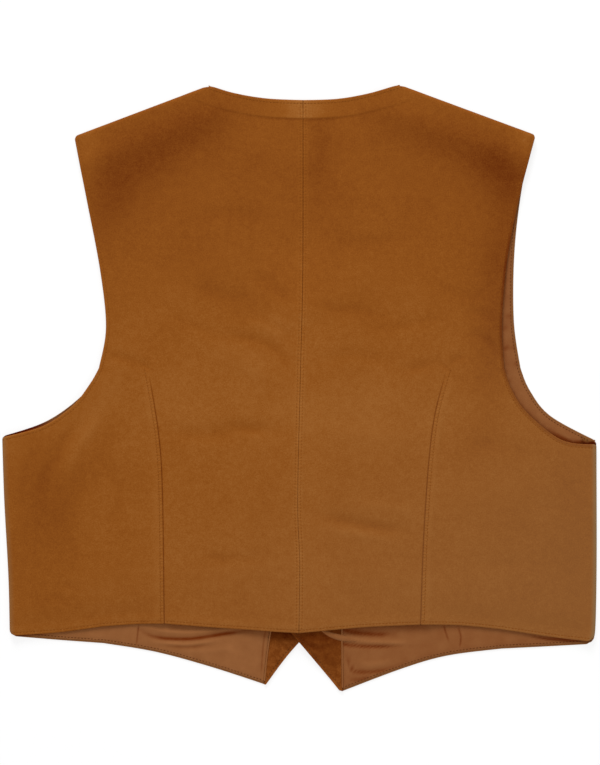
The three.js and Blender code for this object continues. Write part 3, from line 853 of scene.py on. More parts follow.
class Wiring:
    """Adds nodes to one tree and joins them."""

    def __init__(self, tree: bpy.types.NodeTree) -> None:
        """Takes the tree that the nodes go into."""
        self.tree = tree

    def feed(self, node: bpy.types.Node, sockets: dict[str | int, object]) -> None:
        """Fills a node's inputs.

        Args:
            node: The node.
            sockets: Its inputs by name or number: a number or colour, or the socket that feeds it.
        """
        for key, value in sockets.items():
            if isinstance(value, bpy.types.NodeSocket):
                self.tree.links.new(value, node.inputs[key])
            else:
                node.inputs[key].default_value = value

    def add(
        self, kind: str, sockets: dict[str | int, object] | None = None, **settings: object
    ) -> bpy.types.Node:
        """Adds a node.

        Args:
            kind: The node's type.
            sockets: Its inputs, as feed takes them.
            settings: Its other settings.

        Returns:
            The new node.
        """
        node = self.tree.nodes.new(kind)
        for key, value in settings.items():
            setattr(node, key, value)
        self.feed(node, sockets or {})
        return node

    def place(self) -> object:
        """Adds a Texture Coordinate node and returns the place on the object."""
        return self.add("ShaderNodeTexCoord").outputs["Object"]

    def group(self, tree: bpy.types.NodeTree, sockets: dict[str | int, object]) -> object:
        """Adds a shader group and returns its outputs."""
        return self.add("ShaderNodeGroup", sockets, node_tree=tree).outputs

    def mix(self, factor: object, first: object, second: object) -> object:
        """Adds a Mix node of two colours and returns its output."""
        sockets = {"Factor": factor, 6: first, 7: second}
        return self.add("ShaderNodeMix", sockets, data_type="RGBA").outputs[2]

    def ramp(self, value: object, *stops: tuple[float, Colour]) -> object:
        """Adds a Color Ramp.

        Args:
            value: What chooses the colour.
            stops: Each stop's place from 0 to 1 and its colour, in order.

        Returns:
            The colour output.
        """
        node = self.add("ShaderNodeValToRGB", {"Fac": value})
        elements = node.color_ramp.elements
        for element, (place, colour) in zip(elements, (stops[0], stops[-1])):
            element.position, element.color = place, opaque(colour)
        for place, colour in stops[1:-1]:
            elements.new(place).color = opaque(colour)
        return node.outputs["Color"]

    def math(self, operation: str, a: object, b: object = 0.0, clamp: bool = False) -> object:
        """Adds a Math node of two numbers or sockets, and returns its output."""
        node = self.add("ShaderNodeMath", {0: a, 1: b}, operation=operation, use_clamp=clamp)
        return node.outputs[0]

    def noise(self, vector: object, scale: float, detail: float, roughness: float = 0.5) -> object:
        """Adds a Noise Texture and returns its value output, from 0 to 1."""
        sockets = {"Vector": vector, "Scale": scale, "Detail": detail, "Roughness": roughness}
        return self.add("ShaderNodeTexNoise", sockets).outputs["Fac"]

    def attribute(self, name: str) -> object:
        """Adds an Attribute node and returns its value output."""
        return self.add("ShaderNodeAttribute", attribute_name=name).outputs["Fac"]

    def bump(self, height: object, distance: float, strength: float, normal: object = None) -> object:
        """Adds a Bump node over another normal, and returns its output."""
        sockets = {"Height": height, "Distance": distance, "Strength": strength}
        if normal is not None:
            sockets["Normal"] = normal
        return self.add("ShaderNodeBump", sockets).outputs["Normal"]


def new_group(
    name: str, kind: str, inputs: dict[str, tuple[str, object]], outputs: dict[str, str]
) -> tuple[bpy.types.NodeTree, Wiring, bpy.types.Node]:
    """Makes a node group with named sockets.

    Args:
        name: The group's name.
        kind: ShaderNodeTree or GeometryNodeTree.
        inputs: Each input's socket type and its value to start with, by name.
        outputs: Each output's socket type, by name.

    Returns:
        The group, its wiring and its Group Input node.
    """
    tree = bpy.data.node_groups.new(name, kind)
    for label, (socket_type, value) in inputs.items():
        socket = tree.interface.new_socket(label, in_out="INPUT", socket_type=socket_type)
        if value is not None:
            socket.default_value = value
    for label, socket_type in outputs.items():
        tree.interface.new_socket(label, in_out="OUTPUT", socket_type=socket_type)
    wiring = Wiring(tree)
    return tree, wiring, wiring.add("NodeGroupInput")


class Effects:
    """Shader groups that more than one material uses."""

    def __init__(self) -> None:
        """Builds each group once."""
        self.nap = self._nap()
        self.sewn = self._sewn()

    def _nap(self) -> bpy.types.NodeTree:
        """Builds the brushed nap of suede.

        Returns:
            A group that gives the nap's shade, from about -1 to 1, and its height.
        """
        tree, w, inputs = new_group(
            "brushed_nap",
            "ShaderNodeTree",
            {"Vector": ("NodeSocketVector", None), "Clouds": ("NodeSocketFloat", 0.5),
             "Patches": ("NodeSocketFloat", 0.35), "Fibres": ("NodeSocketFloat", 0.3)},
            {"Shade": "NodeSocketFloat", "Height": "NodeSocketFloat"},
        )
        vector = inputs.outputs["Vector"]
        clouds = w.noise(vector, 22.0, 3.0, 0.55)
        patches = w.noise(vector, 150.0, 3.0, 0.6)
        fibres = w.noise(vector, 900.0, 2.0, 0.6)
        shade = 0.0
        for noise, amount in ((clouds, "Clouds"), (patches, "Patches"), (fibres, "Fibres")):
            centred = w.math("MULTIPLY", w.math("SUBTRACT", noise, 0.5), inputs.outputs[amount])
            shade = w.math("ADD", centred, shade)
        hairs = w.noise(vector, 3200.0, 2.0, 0.7)
        height = w.math("ADD", w.math("MULTIPLY", fibres, 0.65), w.math("MULTIPLY", hairs, 0.35))
        w.add("NodeGroupOutput", {"Shade": shade, "Height": height})
        return tree

    def _sewn(self) -> bpy.types.NodeTree:
        """Builds the puckers that stitches draw beside a seam.

        Returns:
            A group that gives the puckers' height and how dark they are, from a mask.
        """
        tree, w, inputs = new_group(
            "stitch_puckers",
            "ShaderNodeTree",
            {"Vector": ("NodeSocketVector", None), "Mask": ("NodeSocketFloat", 0.0),
             "Pitch": ("NodeSocketFloat", STITCH_PITCH * MM)},
            {"Height": "NodeSocketFloat", "Dark": "NodeSocketFloat"},
        )
        parts = w.add("ShaderNodeSeparateXYZ", {0: inputs.outputs["Vector"]})
        waver = w.math("MULTIPLY", w.noise(inputs.outputs["Vector"], 160.0, 1.0), 1.6)
        turns = w.math("DIVIDE", parts.outputs["Y"], inputs.outputs["Pitch"])
        phase = w.math("MULTIPLY", w.math("ADD", turns, waver), 2 * math.pi)
        wave = w.math("MULTIPLY", w.math("SINE", phase), 0.5)
        height = w.math("MULTIPLY", wave, inputs.outputs["Mask"])
        dark = w.math("MULTIPLY", w.math("ADD", wave, 0.5), inputs.outputs["Mask"])
        w.add("NodeGroupOutput", {"Height": height, "Dark": dark})
        return tree


def new_material(name: str, colour: Colour) -> tuple[bpy.types.Material, Wiring, bpy.types.Node]:
    """Makes a material with a Principled BSDF.

    Args:
        name: The material's name.
        colour: Its colour where only a plain one shows.

    Returns:
        The material, its wiring and its Principled BSDF.
    """
    material = bpy.data.materials.new(name)
    material.use_nodes = True
    material.diffuse_color = opaque(colour)
    return material, Wiring(material.node_tree), material.node_tree.nodes["Principled BSDF"]


@dataclass(frozen=True)
class Suede:
    """Brushed leather: three shades that the nap, the painted shade and highlight of folds and edges, and
    the painted shade of the seams choose between.
    """

    name: str
    dark: Colour
    middle: Colour
    light: Colour
    # the greyer colour that a painted sheen mixes in
    painted_sheen: Colour = (0.27, 0.156, 0.066)
    clouds: float = 0.15
    patches: float = 0.18
    fibres: float = 0.40
    roughness: float = 0.9
    sheen: float = 0.08
    gloss: float = 0.1
    rubbed: float = 0.14
    seam_shade: float = 0.36
    pucker_shade: float = 0.035

    def material(self, effects: Effects) -> bpy.types.Material:
        """Builds the material.

        Args:
            effects: The shared shader groups.

        Returns:
            The finished material.
        """
        material, w, surface = new_material(self.name, self.middle)
        place = w.place()
        amounts = {"Clouds": self.clouds, "Patches": self.patches, "Fibres": self.fibres}
        nap = w.group(effects.nap, {"Vector": place} | amounts)
        sewn = w.group(effects.sewn, {"Vector": place, "Mask": w.attribute("pucker")})
        # Painted shade and highlight come in through the attribute added to the nap here; the seam mask and
        # the puckers subtract painted shade, and the mix below adds a greyer painted sheen.
        lit = w.math("ADD", nap["Shade"], w.attribute("tone_and_painted_light"))
        rubbed = w.math("MULTIPLY", w.attribute("rub"), w.noise(place, 420.0, 2.0))
        lit = w.math("ADD", lit, w.math("MULTIPLY", rubbed, self.rubbed))
        lit = w.math("SUBTRACT", lit, w.math("MULTIPLY", w.attribute("seam"), self.seam_shade))
        lit = w.math("SUBTRACT", lit, w.math("MULTIPLY", sewn["Dark"], self.pucker_shade))
        lit = w.math("ADD", lit, 0.5, clamp=True)
        shade = w.ramp(lit, (0.0, self.dark), (0.5, self.middle), (1.0, self.light))
        fine = w.bump(nap["Height"], 0.00025, 0.5)
        w.feed(surface, {
            "Base Color": w.mix(w.attribute("painted_sheen"), shade, opaque(self.painted_sheen)),
            "Roughness": self.roughness,
            "Sheen Weight": self.sheen,
            "Sheen Roughness": 0.45,
            "Sheen Tint": opaque(self.light),
            "Specular IOR Level": self.gloss,
            "Specular Tint": opaque(self.light),
            "Normal": w.bump(sewn["Height"], 0.0004, 0.7, fine),
        })
        return material


@dataclass(frozen=True)
class LiningCloth:
    """Satin lining: a fine diagonal weave with a soft gloss."""

    name: str
    dark: Colour
    middle: Colour
    light: Colour
    thread_pitch: float = 0.42
    lean: float = 28.0
    gloss: float = 0.18
    seam_shade: float = 0.45

    def material(self, effects: Effects) -> bpy.types.Material:
        """Builds the material.

        Args:
            effects: The shared shader groups.

        Returns:
            The finished material.
        """
        material, w, surface = new_material(self.name, self.middle)
        place = w.place()
        lean = (0.0, 0.0, math.radians(self.lean))
        turned = w.add("ShaderNodeMapping", {"Vector": place, "Rotation": lean})
        scale = 1 / (self.thread_pitch * MM * 2 * math.pi)
        weave = w.add(
            "ShaderNodeTexWave",
            {"Vector": turned.outputs["Vector"], "Scale": scale, "Distortion": 1.2, "Detail": 1.0,
             "Detail Scale": 2.0},
            bands_direction="X",
        ).outputs["Fac"]
        sewn = w.group(effects.sewn, {"Vector": place, "Mask": w.attribute("pucker")})
        slub = w.math("SUBTRACT", w.noise(place, 90.0, 4.0, 0.6), 0.5)
        # Painted shade and highlight come in through the attribute added here, and the seam mask subtracts
        # painted shade.
        lit = w.math("ADD", w.math("MULTIPLY", slub, 0.30), w.attribute("tone_and_painted_light"))
        lit = w.math("ADD", lit, w.math("MULTIPLY", w.math("SUBTRACT", weave, 0.5), 0.10))
        lit = w.math("SUBTRACT", lit, w.math("MULTIPLY", w.attribute("seam"), self.seam_shade))
        lit = w.math("ADD", lit, 0.5, clamp=True)
        fine = w.bump(weave, 0.00006, 0.5)
        w.feed(surface, {
            "Base Color": w.ramp(lit, (0.0, self.dark), (0.5, self.middle), (1.0, self.light)),
            "Roughness": w.math("ADD", w.math("MULTIPLY", slub, 0.2), 0.5),
            "Specular IOR Level": self.gloss,
            "Specular Tint": opaque(self.light),
            "Anisotropic": 0.3,
            "Normal": w.bump(sewn["Height"], 0.0004, 0.6, fine),
        })
        return material


@dataclass(frozen=True)
class Thread:
    """Sewing thread, with painted shade where it goes down into its holes."""

    name: str
    colour: Colour
    # the painted shade at each stitch's ends
    hole: Colour

    def material(self) -> bpy.types.Material:
        """Builds the finished material."""
        material, w, surface = new_material(self.name, self.colour)
        end = w.math("POWER", w.math("ABSOLUTE", w.attribute("along")), 2.2)
        strands = w.noise(w.place(), 2600.0, 1.0)
        w.feed(surface, {
            "Base Color": w.mix(end, opaque(self.colour), opaque(self.hole)),
            "Roughness": w.math("ADD", w.math("MULTIPLY", strands, 0.3), 0.55),
            "Specular IOR Level": 0.1,
            "Specular Tint": opaque(self.colour),
            "Normal": w.bump(strands, 0.0001, 0.5),
        })
        return material


@dataclass(frozen=True)
class Horn:
    """Polished dark horn with cloudy streaks."""

    name: str
    dark: Colour
    light: Colour

    def material(self) -> bpy.types.Material:
        """Builds the finished material."""
        material, w, surface = new_material(self.name, self.dark)
        place = w.place()
        drawn = w.add("ShaderNodeMapping", {"Vector": place, "Scale": (1.0, 0.35, 1.0)})
        streaks = w.noise(drawn.outputs["Vector"], 260.0, 4.0, 0.65)
        scuffs = w.noise(place, 900.0, 3.0)
        w.feed(surface, {
            "Base Color": w.ramp(streaks, (0.38, self.dark), (0.72, self.light)),
            "Roughness": w.math("ADD", w.math("MULTIPLY", scuffs, 0.18), 0.2),
            "Normal": w.bump(scuffs, 0.00003, 0.4),
        })
        return material


class Finishes:
    """Every material of the vest."""

    def __init__(self) -> None:
        """Builds the shared groups and then the materials."""
        effects = Effects()
        self.suede = Suede(
            "suede", dark=(0.095, 0.010, 0.001), middle=(0.269, 0.0815, 0.0108), light=(0.433, 0.184, 0.048)
        ).material(effects)
        self.suede_inside = Suede(
            "suede_inside", dark=(0.080, 0.011, 0.001), middle=(0.174, 0.0445, 0.0065),
            light=(0.36, 0.117, 0.024), clouds=0.6, patches=0.6, fibres=0.5, sheen=0.03, rubbed=0.3,
        ).material(effects)
        self.lining = LiningCloth(
            "lining", dark=(0.135, 0.018, 0.0), middle=(0.270, 0.101, 0.0325), light=(0.43, 0.175, 0.062)
        ).material(effects)
        self.thread = Thread("thread", (0.255, 0.075, 0.010), (0.19, 0.052, 0.005)).material()
        self.lining_thread = Thread("lining_thread", (0.12, 0.036, 0.009), (0.045, 0.012, 0.003)).material()
        self.horn = Horn("horn", (0.030, 0.012, 0.005), (0.11, 0.045, 0.016)).material()


class RowTree:
    """A tree of Geometry Nodes whose result is baked into a plain mesh."""

    def __init__(self, name: str, inputs: dict[str, tuple[str, object]]) -> None:
        """Makes the tree.

        Args:
            name: The tree's name.
            inputs: Each named input's socket type and value, after the geometry.
        """
        inputs = {"Geometry": ("NodeSocketGeometry", None)} | inputs
        outputs = {"Geometry": "NodeSocketGeometry"}
        self.tree, self.wiring, self.inputs = new_group(name, "GeometryNodeTree", inputs, outputs)

    def end(self, geometry: object) -> None:
        """Ends the tree in Realize Instances and Set Material."""
        real = self.wiring.add("GeometryNodeRealizeInstances", {"Geometry": geometry})
        sockets = {"Geometry": real.outputs["Geometry"], "Material": self.inputs.outputs["Material"]}
        done = self.wiring.add("GeometryNodeSetMaterial", sockets)
        self.wiring.add("NodeGroupOutput", {"Geometry": done.outputs["Geometry"]})

    def bake(self, name: str, paths: Sequence[np.ndarray], values: dict[str, object]) -> bpy.types.Object:
        """Runs the tree along paths and keeps the result as a plain mesh.

        Args:
            name: The new object's name.
            paths: Lines of points, in millimetres.
            values: The tree's inputs by name.

        Returns:
            The new object, with no modifier.
        """
        starts = np.cumsum([0, *(len(path) for path in paths)])
        edges = [(k, k + 1) for a, b in zip(starts, starts[1:]) for k in range(a, b - 1)]
        made = new_object(name, np.vstack(paths), [], edges)
        modifier = made.modifiers.new("row", "NODES")
        modifier.node_group = self.tree
        for item in self.tree.interface.items_tree:
            if item.item_type == "SOCKET" and item.in_out == "INPUT" and item.name in values:
                modifier[item.identifier] = values[item.name]
        apply_modifiers(made)
        return made


class StitchTree(RowTree):
    """Stitches at an even pitch along paths, each a small bead of thread."""

    def __init__(self) -> None:
        """Builds the tree."""
        super().__init__(
            "stitch_row",
            {"Pitch": ("NodeSocketFloat", 0.003), "Length": ("NodeSocketFloat", 0.0022),
             "Width": ("NodeSocketFloat", 0.0007), "Height": ("NodeSocketFloat", 0.0006),
             "Wander": ("NodeSocketFloat", 0.08), "Seed": ("NodeSocketInt", 1),
             "Material": ("NodeSocketMaterial", None)},
        )
        w, given = self.wiring, self.inputs.outputs
        curve = w.add("GeometryNodeMeshToCurve", {"Mesh": given["Geometry"]})
        spaced = w.add(
            "GeometryNodeResampleCurve", {"Curve": curve.outputs["Curve"], "Length": given["Pitch"]},
            mode="LENGTH",
        )
        bead = w.add("GeometryNodeMeshUVSphere", {"Segments": 8, "Rings": 5, "Radius": 1.0})
        smooth = w.add("GeometryNodeSetShadeSmooth", {"Geometry": bead.outputs["Mesh"]})
        spot = w.add("ShaderNodeSeparateXYZ", {0: w.add("GeometryNodeInputPosition").outputs[0]})
        marked = w.add(
            "GeometryNodeStoreNamedAttribute",
            {"Geometry": smooth.outputs["Geometry"], "Name": "along", "Value": spot.outputs["X"]},
            data_type="FLOAT", domain="POINT",
        )
        tangent = w.add("GeometryNodeInputTangent")
        facing = w.add(
            "FunctionNodeAlignRotationToVector", {"Vector": tangent.outputs["Tangent"]}, axis="X"
        )
        least = w.math("MULTIPLY", given["Wander"], -1.0)
        swing = w.add(
            "FunctionNodeRandomValue",
            {2: least, 3: given["Wander"], "Seed": given["Seed"]}, data_type="FLOAT",
        )
        turn = w.add("ShaderNodeCombineXYZ", {"Z": swing.outputs[1]})
        spin = w.add("FunctionNodeEulerToRotation", {0: turn.outputs[0]})
        turned = w.add(
            "FunctionNodeRotateRotation",
            {"Rotation": facing.outputs[0], "Rotate By": spin.outputs[0]}, rotation_space="LOCAL",
        )
        sizes = [w.math("MULTIPLY", given[label], 0.5) for label in ("Length", "Width", "Height")]
        size = w.add("ShaderNodeCombineXYZ", {"X": sizes[0], "Y": sizes[1], "Z": sizes[2]})
        placed = w.add(
            "GeometryNodeInstanceOnPoints",
            {"Points": spaced.outputs["Curve"], "Instance": marked.outputs["Geometry"],
             "Rotation": turned.outputs[0], "Scale": size.outputs[0]},
        )
        self.end(placed.outputs["Instances"])


class PipingTree(RowTree):
    """A round covered cord along paths."""

    def __init__(self) -> None:
        """Builds the tree."""
        super().__init__(
            "piping",
            {"Radius": ("NodeSocketFloat", 0.0007), "Sides": ("NodeSocketInt", 10),
             "Material": ("NodeSocketMaterial", None)},
        )
        w, given = self.wiring, self.inputs.outputs
        curve = w.add("GeometryNodeMeshToCurve", {"Mesh": given["Geometry"]})
        circle = w.add(
            "GeometryNodeCurvePrimitiveCircle", {"Resolution": given["Sides"], "Radius": given["Radius"]}
        )
        tube = w.add(
            "GeometryNodeCurveToMesh",
            {"Curve": curve.outputs["Curve"], "Profile Curve": circle.outputs["Curve"], "Fill Caps": True},
        )
        smooth = w.add("GeometryNodeSetShadeSmooth", {"Geometry": tube.outputs["Mesh"]})
        self.end(smooth.outputs["Geometry"])


# --- The vest's pieces ------------------------------------------------------------------------

EDGE_STEPS = (0.12, 0.35, 0.7, 1.15, 1.9, 2.6, 3.1, 3.6, 4.2, 5.2, 6.6, 8.4)
SEAM_STEPS = (0.25, 0.55, 0.95, 1.5, 2.2, 3.0, 3.8, 4.6, 5.4, 6.8)
FOLD_STEPS = (0.12, 0.35, 0.7, 1.15, 1.8, 2.5, 3.2, 3.9, 4.7, 5.5, 6.4, 7.4, 8.6)
BAND_STEPS = (*FOLD_STEPS, 10.4, 12.4, 14.2, 15.4, 16.1, 16.8, 17.5, 18.4, 20.0)


def outline_corners(lines: Lines, neckline: str) -> list[Corner]:
    """Gives the corners that a panel shares with the one on its other side.

    Args:
        lines: The panel's outline, as folded.
        neckline: The name of the line that meets the shoulder at the neck.

    Returns:
        The rounded corners.
    """
    hem, side, underarm = (lines[name].points for name in ("hem_side", "side", "underarm"))
    shoulder, armhole, neck = (lines[name].points for name in ("shoulder", "armhole", neckline))
    return [
        Corner(tuple(side[0]), tuple(hem[-2]), tuple(side[1]), 6.0),
        Corner(tuple(underarm[0]), tuple(underarm[1]), tuple(side[-2]), 2.0),
        Corner(tuple(armhole[-1]), tuple(shoulder[0]), tuple(armhole[-2]), 3.0),
        Corner(tuple(shoulder[0]), tuple(shoulder[-1]), tuple(neck[-2]), 4.0),
    ]


def rounded_off(corners: Iterable[Corner], places: np.ndarray) -> np.ndarray:
    """Rounds every corner of an outline in plan."""
    for corner in corners:
        places = corner.rounded(places)
    return places


def height_over(surface: Callable[[np.ndarray], np.ndarray], flat: np.ndarray, lift: float) -> np.ndarray:
    """Lifts points off a surface, square to it.

    Args:
        surface: Gives points of the surface for points of the flat cloth.
        flat: Points of the flat cloth.
        lift: How far the result lies from the surface, on its upper side.

    Returns:
        The lifted points.
    """
    step = 0.4
    here = surface(flat)
    across = surface(flat + [step, 0.0]) - surface(flat - [step, 0.0])
    up = surface(flat + [0.0, step]) - surface(flat - [0.0, step])
    normal = np.cross(across, up)
    return here + lift * normal / np.linalg.norm(normal, axis=1)[:, None]


def beside(points: np.ndarray, by: float, trim: tuple[float, float] = (2.0, 2.0)) -> np.ndarray:
    """Runs a line beside another one.

    Args:
        points: The other line's points.
        by: How far it lies to the left of the direction of travel.
        trim: How much is cut off its start and its end.

    Returns:
        The new line's points, about 1.5 mm apart.
    """
    run = np.gradient(points, axis=0)
    run /= np.linalg.norm(run, axis=1)[:, None]
    moved = points + by * np.column_stack([-run[:, 1], run[:, 0]])
    reached = np.concatenate([[0.0], np.cumsum(np.linalg.norm(np.diff(moved, axis=0), axis=1))])
    spacing = 1.5
    spots = np.linspace(trim[0], reached[-1] - trim[1], max(3, round(reached[-1] / spacing)))
    return np.column_stack([np.interp(spots, reached, moved[:, k]) for k in (0, 1)])


def chained(*lines: SeamLine) -> np.ndarray:
    """Gives the points of several lines end to end."""
    return np.vstack([lines[0].fine, *(line.fine[1:] for line in lines[1:])])


@dataclass
class Sewing:
    """What sews the pieces together: the stitch and piping trees and their threads."""

    finishes: Finishes
    stitches: StitchTree = field(default_factory=StitchTree)
    piping: PipingTree = field(default_factory=PipingTree)
    seed: int = 11

    def rows(
        self, name: str, paths: Sequence[np.ndarray], thread: bpy.types.Material, slot: str, **sizes: float
    ) -> bpy.types.Object:
        """Sews rows of stitches.

        Args:
            name: The new piece's name.
            paths: The rows' points, in millimetres.
            thread: The thread's material.
            slot: Not used.
            sizes: Inputs of the tree that differ from its own, in lower case and millimetres.

        Returns:
            The piece with every stitch.
        """
        self.seed += 1
        usual = {"pitch": STITCH_PITCH, "length": 2.3, "width": 0.7, "height": 0.5} | sizes
        values = {label.capitalize(): size * MM for label, size in usual.items()}
        values |= {"Seed": self.seed, "Material": thread}
        return settle(self.stitches.bake(name, paths, values))


def settle(piece: bpy.types.Object) -> bpy.types.Object:
    """Lets a piece ride on the vest's one body, and returns it."""
    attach(piece, "root")
    return piece


def report(piece: bpy.types.Object) -> None:
    """Logs a finished piece, with its lowest and highest level."""
    levels = [vertex.co.z / MM for vertex in piece.data.vertices]
    count = len(piece.data.polygons)
    log.info("%s: %d faces, %.2f to %.2f mm", piece.name, count, min(levels), max(levels))


@dataclass
class BackPanel:
    """One half of the back: the middle seam, a dart, and turned edges at hem, armhole and neck."""

    side: Side
    flat_size: tuple[float, float]
    flat_area: float
    cell: float = 3.3
    gully: float = 0.5
    # how much greyer painted sheen the side rims get
    rim_painted_sheen: float = 0.5
    lower_length: float = 235.0
    upper_length: float = 250.0
    inner_width: float = 125.0
    outer_width: float = 55.0
    flank_width: float = 88.0

    def __post_init__(self) -> None:
        """Draws the panel's lines."""
        self.lines = seam_lines(BACK_LINES[self.side.value])
        self.middle = seam_lines(MIDDLE_SEAM)
        self.laid = unfolded(self.lines)
        self.hem = chained(self.laid["hem"], self.laid["hem_outer"], self.laid["hem_side"])
        self.armhole = chained(self.laid["underarm"], self.laid["armhole"])
        self.seam = chained(self.middle["below"], self.middle["above"])
        self.corners = outline_corners(self.lines, "neck")

    def patches(self) -> list[Patch]:
        """Divides the panel into five patches between its lines."""
        lines, middle = self.laid, self.middle
        yoke_middle, dart_tip = middle["above"].start, lines["dart"].end
        neck_point, underarm = lines["neck"].end, lines["armhole"].start
        rail = straight(lines["hem_outer"].end, underarm)
        upper_rail = straight(dart_tip, neck_point)
        lower = Ruling(self.lower_length, self.cell, EDGE_STEPS, EDGE_STEPS).shares
        upper = Ruling(self.upper_length, self.cell, (), BAND_STEPS).shares
        inner = Ruling(self.inner_width, self.cell, SEAM_STEPS, SEAM_STEPS).shares
        outer = Ruling(self.outer_width, self.cell, SEAM_STEPS, EDGE_STEPS).shares
        flank = Ruling(self.flank_width, self.cell, (), FOLD_STEPS).shares
        yoke = straight(yoke_middle, dart_tip)
        yoke_outer = straight(dart_tip, underarm)
        below, above = along(middle["below"]), along(middle["above"])
        dart, side = along(lines["dart"]), along(lines["side"])
        under = back_along(lines["underarm"])
        return [
            Patch(along(lines["hem"]), yoke, below, dart, inner, lower),
            Patch(along(lines["hem_outer"]), yoke_outer, dart, rail, outer, lower),
            Patch(along(lines["hem_side"]), under, rail, side, flank, lower),
            Patch(yoke, along(lines["neck"]), above, upper_rail, inner, upper),
            Patch(yoke_outer, along(lines["shoulder"]), upper_rail, along(lines["armhole"]), outer, upper),
        ]

    def level(self, places: np.ndarray) -> np.ndarray:
        """Gives the back's height over the surface before its folds turn down, as the solid has it."""
        x, y = places.T
        from_middle = np.abs(x)
        from_side = np.abs(self.lines["side"].x_at(y)) - from_middle
        from_shoulder = self.lines["shoulder"].depth_of(places)
        placket = falloff(x, 16, 70) * falloff(-x, 15, 50) * falloff(-y, 210, 262) * falloff(y, 66, 134)
        vee = VEE_SPREAD * (y - VEE_Y)
        swell = sum(rise * bell(from_shoulder - far, width) for rise, far, width in SHOULDER_SWELLS)
        level = BACK_LEVEL + PLACKET_RISE * placket - NECK_SAG * smoothstep(vee - from_middle, 0, 45)
        level += swell * smoothstep(from_middle, 30, 90) + soft_sum(BACK_FOLDS, places)
        level += crease_sum(BACK_CREASES, places)
        near_side = np.where(y < YOKE_Y, falloff(from_side, 5, FOLD_REACH), 0.0)
        near_shoulder = falloff(from_shoulder, 5, FOLD_REACH) * smoothstep(from_middle, 60, 82)
        share = np.maximum(near_side, near_shoulder)
        return level * (1 - share) + FOLD_HEIGHT * share

    def reaches(self, flat: np.ndarray) -> dict[str, np.ndarray]:
        """Measures how far points of the flat cloth lie from each sewn line."""
        dart = self.laid["dart"]
        outside = self.side.sign * (flat[:, 0] - dart.x_at(flat[:, 1]))
        return {
            "seam": distance_to(self.seam, flat),
            "dart": distance_to(dart.fine, flat),
            "dart_side": smoothstep(outside, -0.4, 0.4),
            "dart_tip": falloff(flat[:, 1], YOKE_Y - 30, YOKE_Y),
            "hem": distance_to(self.hem, flat),
            "side": np.abs(self.laid["side"].x_at(flat[:, 1]) - flat[:, 0]),
            "armhole": distance_to(self.armhole, flat),
            "neck": distance_to(self.laid["neck"].fine, flat),
        }

    def relief(self, places: np.ndarray, reach: dict[str, np.ndarray]) -> np.ndarray:
        """Gives the height that seams, allowances, facings and stitches add to the cloth."""
        shown = reach["dart_tip"]
        outer = shown * reach["dart_side"]
        relief = ALLOWANCE_RISE * falloff(reach["seam"], ALLOWANCE - 0.5, ALLOWANCE + 0.9)
        relief -= ROW_DIP * bell(reach["seam"] - SEAM_STITCH, DIP_WIDTH)
        relief -= self.gully * bell(reach["dart"], 0.45) * (0.2 + 0.8 * shown)
        relief += DART_RISE * falloff(reach["dart"], DART_ALLOWANCE - 0.6, DART_ALLOWANCE + 0.8) * outer
        relief -= ROW_DIP * bell(reach["dart"] - DART_STITCH, DIP_WIDTH) * outer
        relief += HEM_RISE * falloff(reach["hem"], 6.2, 8.4)
        relief -= HEM_DIP * bell(reach["hem"] - HEM_STITCH, DIP_WIDTH)
        drooping = smoothstep(np.abs(places[:, 0]), 105, 145) * smoothstep(reach["side"], 5.5, 15)
        relief -= HEM_DROOP * falloff(reach["hem"], 2, 26) * drooping
        relief += ARMHOLE_RISE * falloff(reach["armhole"], ARMHOLE_BAND - 1.5, ARMHOLE_BAND + 1.5)
        relief -= ARMHOLE_DIP * bell(reach["armhole"] - ARMHOLE_STITCH, DIP_WIDTH)
        band = 0.15 + 0.4 * bell(places[:, 0], 70)
        return relief + band * falloff(reach["neck"], NECK_BAND - 0.9, NECK_BAND + 0.7)

    def surface(self, flat: np.ndarray) -> np.ndarray:
        """Gives the outer face's points for points of the flat cloth."""
        place, drop = roll(self.lines, flat)
        height = self.level(place) + self.relief(place, self.reaches(flat)) - drop
        return np.column_stack([rounded_off(self.corners, place), height])

    def shades(self, flat: np.ndarray, net: Net) -> dict[str, np.ndarray]:
        """Gives what the suede reads at each point: colour with painted shade and highlight, painted shade
        at the seams, puckers, rubbed edges and a painted sheen.
        """
        reach, (x, y) = self.reaches(flat), flat.T
        shown = reach["dart_tip"]
        outer = shown * reach["dart_side"]
        band = falloff(reach["neck"], NECK_BAND - 0.7, NECK_BAND + 0.5)
        # Painted shade and highlight from the table, the folds and the creases, a painted highlight on the
        # raised neck band, seam and dart allowances and hem band, and darker at the hem's very edge.
        tone_and_painted_light = soft_sum(BACK_PAINTED_SHADE_AND_NAP, flat) + FOLD_PAINTED_LIGHT * soft_sum(BACK_FOLDS, flat)
        tone_and_painted_light += CREASE_PAINTED_LIGHT * crease_sum(BACK_CREASES, flat) + band * (0.01 + 0.19 * bell(x - 4, 20))
        tone_and_painted_light += 0.035 * falloff(reach["seam"], ALLOWANCE - 0.6, ALLOWANCE + 0.8)
        tone_and_painted_light += 0.04 * falloff(reach["dart"], 6.4, 8.4) * outer
        tone_and_painted_light += 0.03 * falloff(reach["hem"], 5.0, 8.0) + HEM_TONE * falloff(reach["hem"], 0.3, 2.2)
        if self.side is Side.RIGHT:
            # Painted shade along the right armhole's edge, where it turns down.
            tone_and_painted_light += ARMHOLE_PAINTED_SHADE * falloff(reach["armhole"], 0.8, 3.4) * falloff(y, 110, 190)
        else:
            # A painted highlight along the left side's rim.
            tone_and_painted_light += SIDE_RIM_PAINTED_HIGHLIGHT * falloff(reach["side"], 1.0, 5.0) * (y < YOKE_Y)
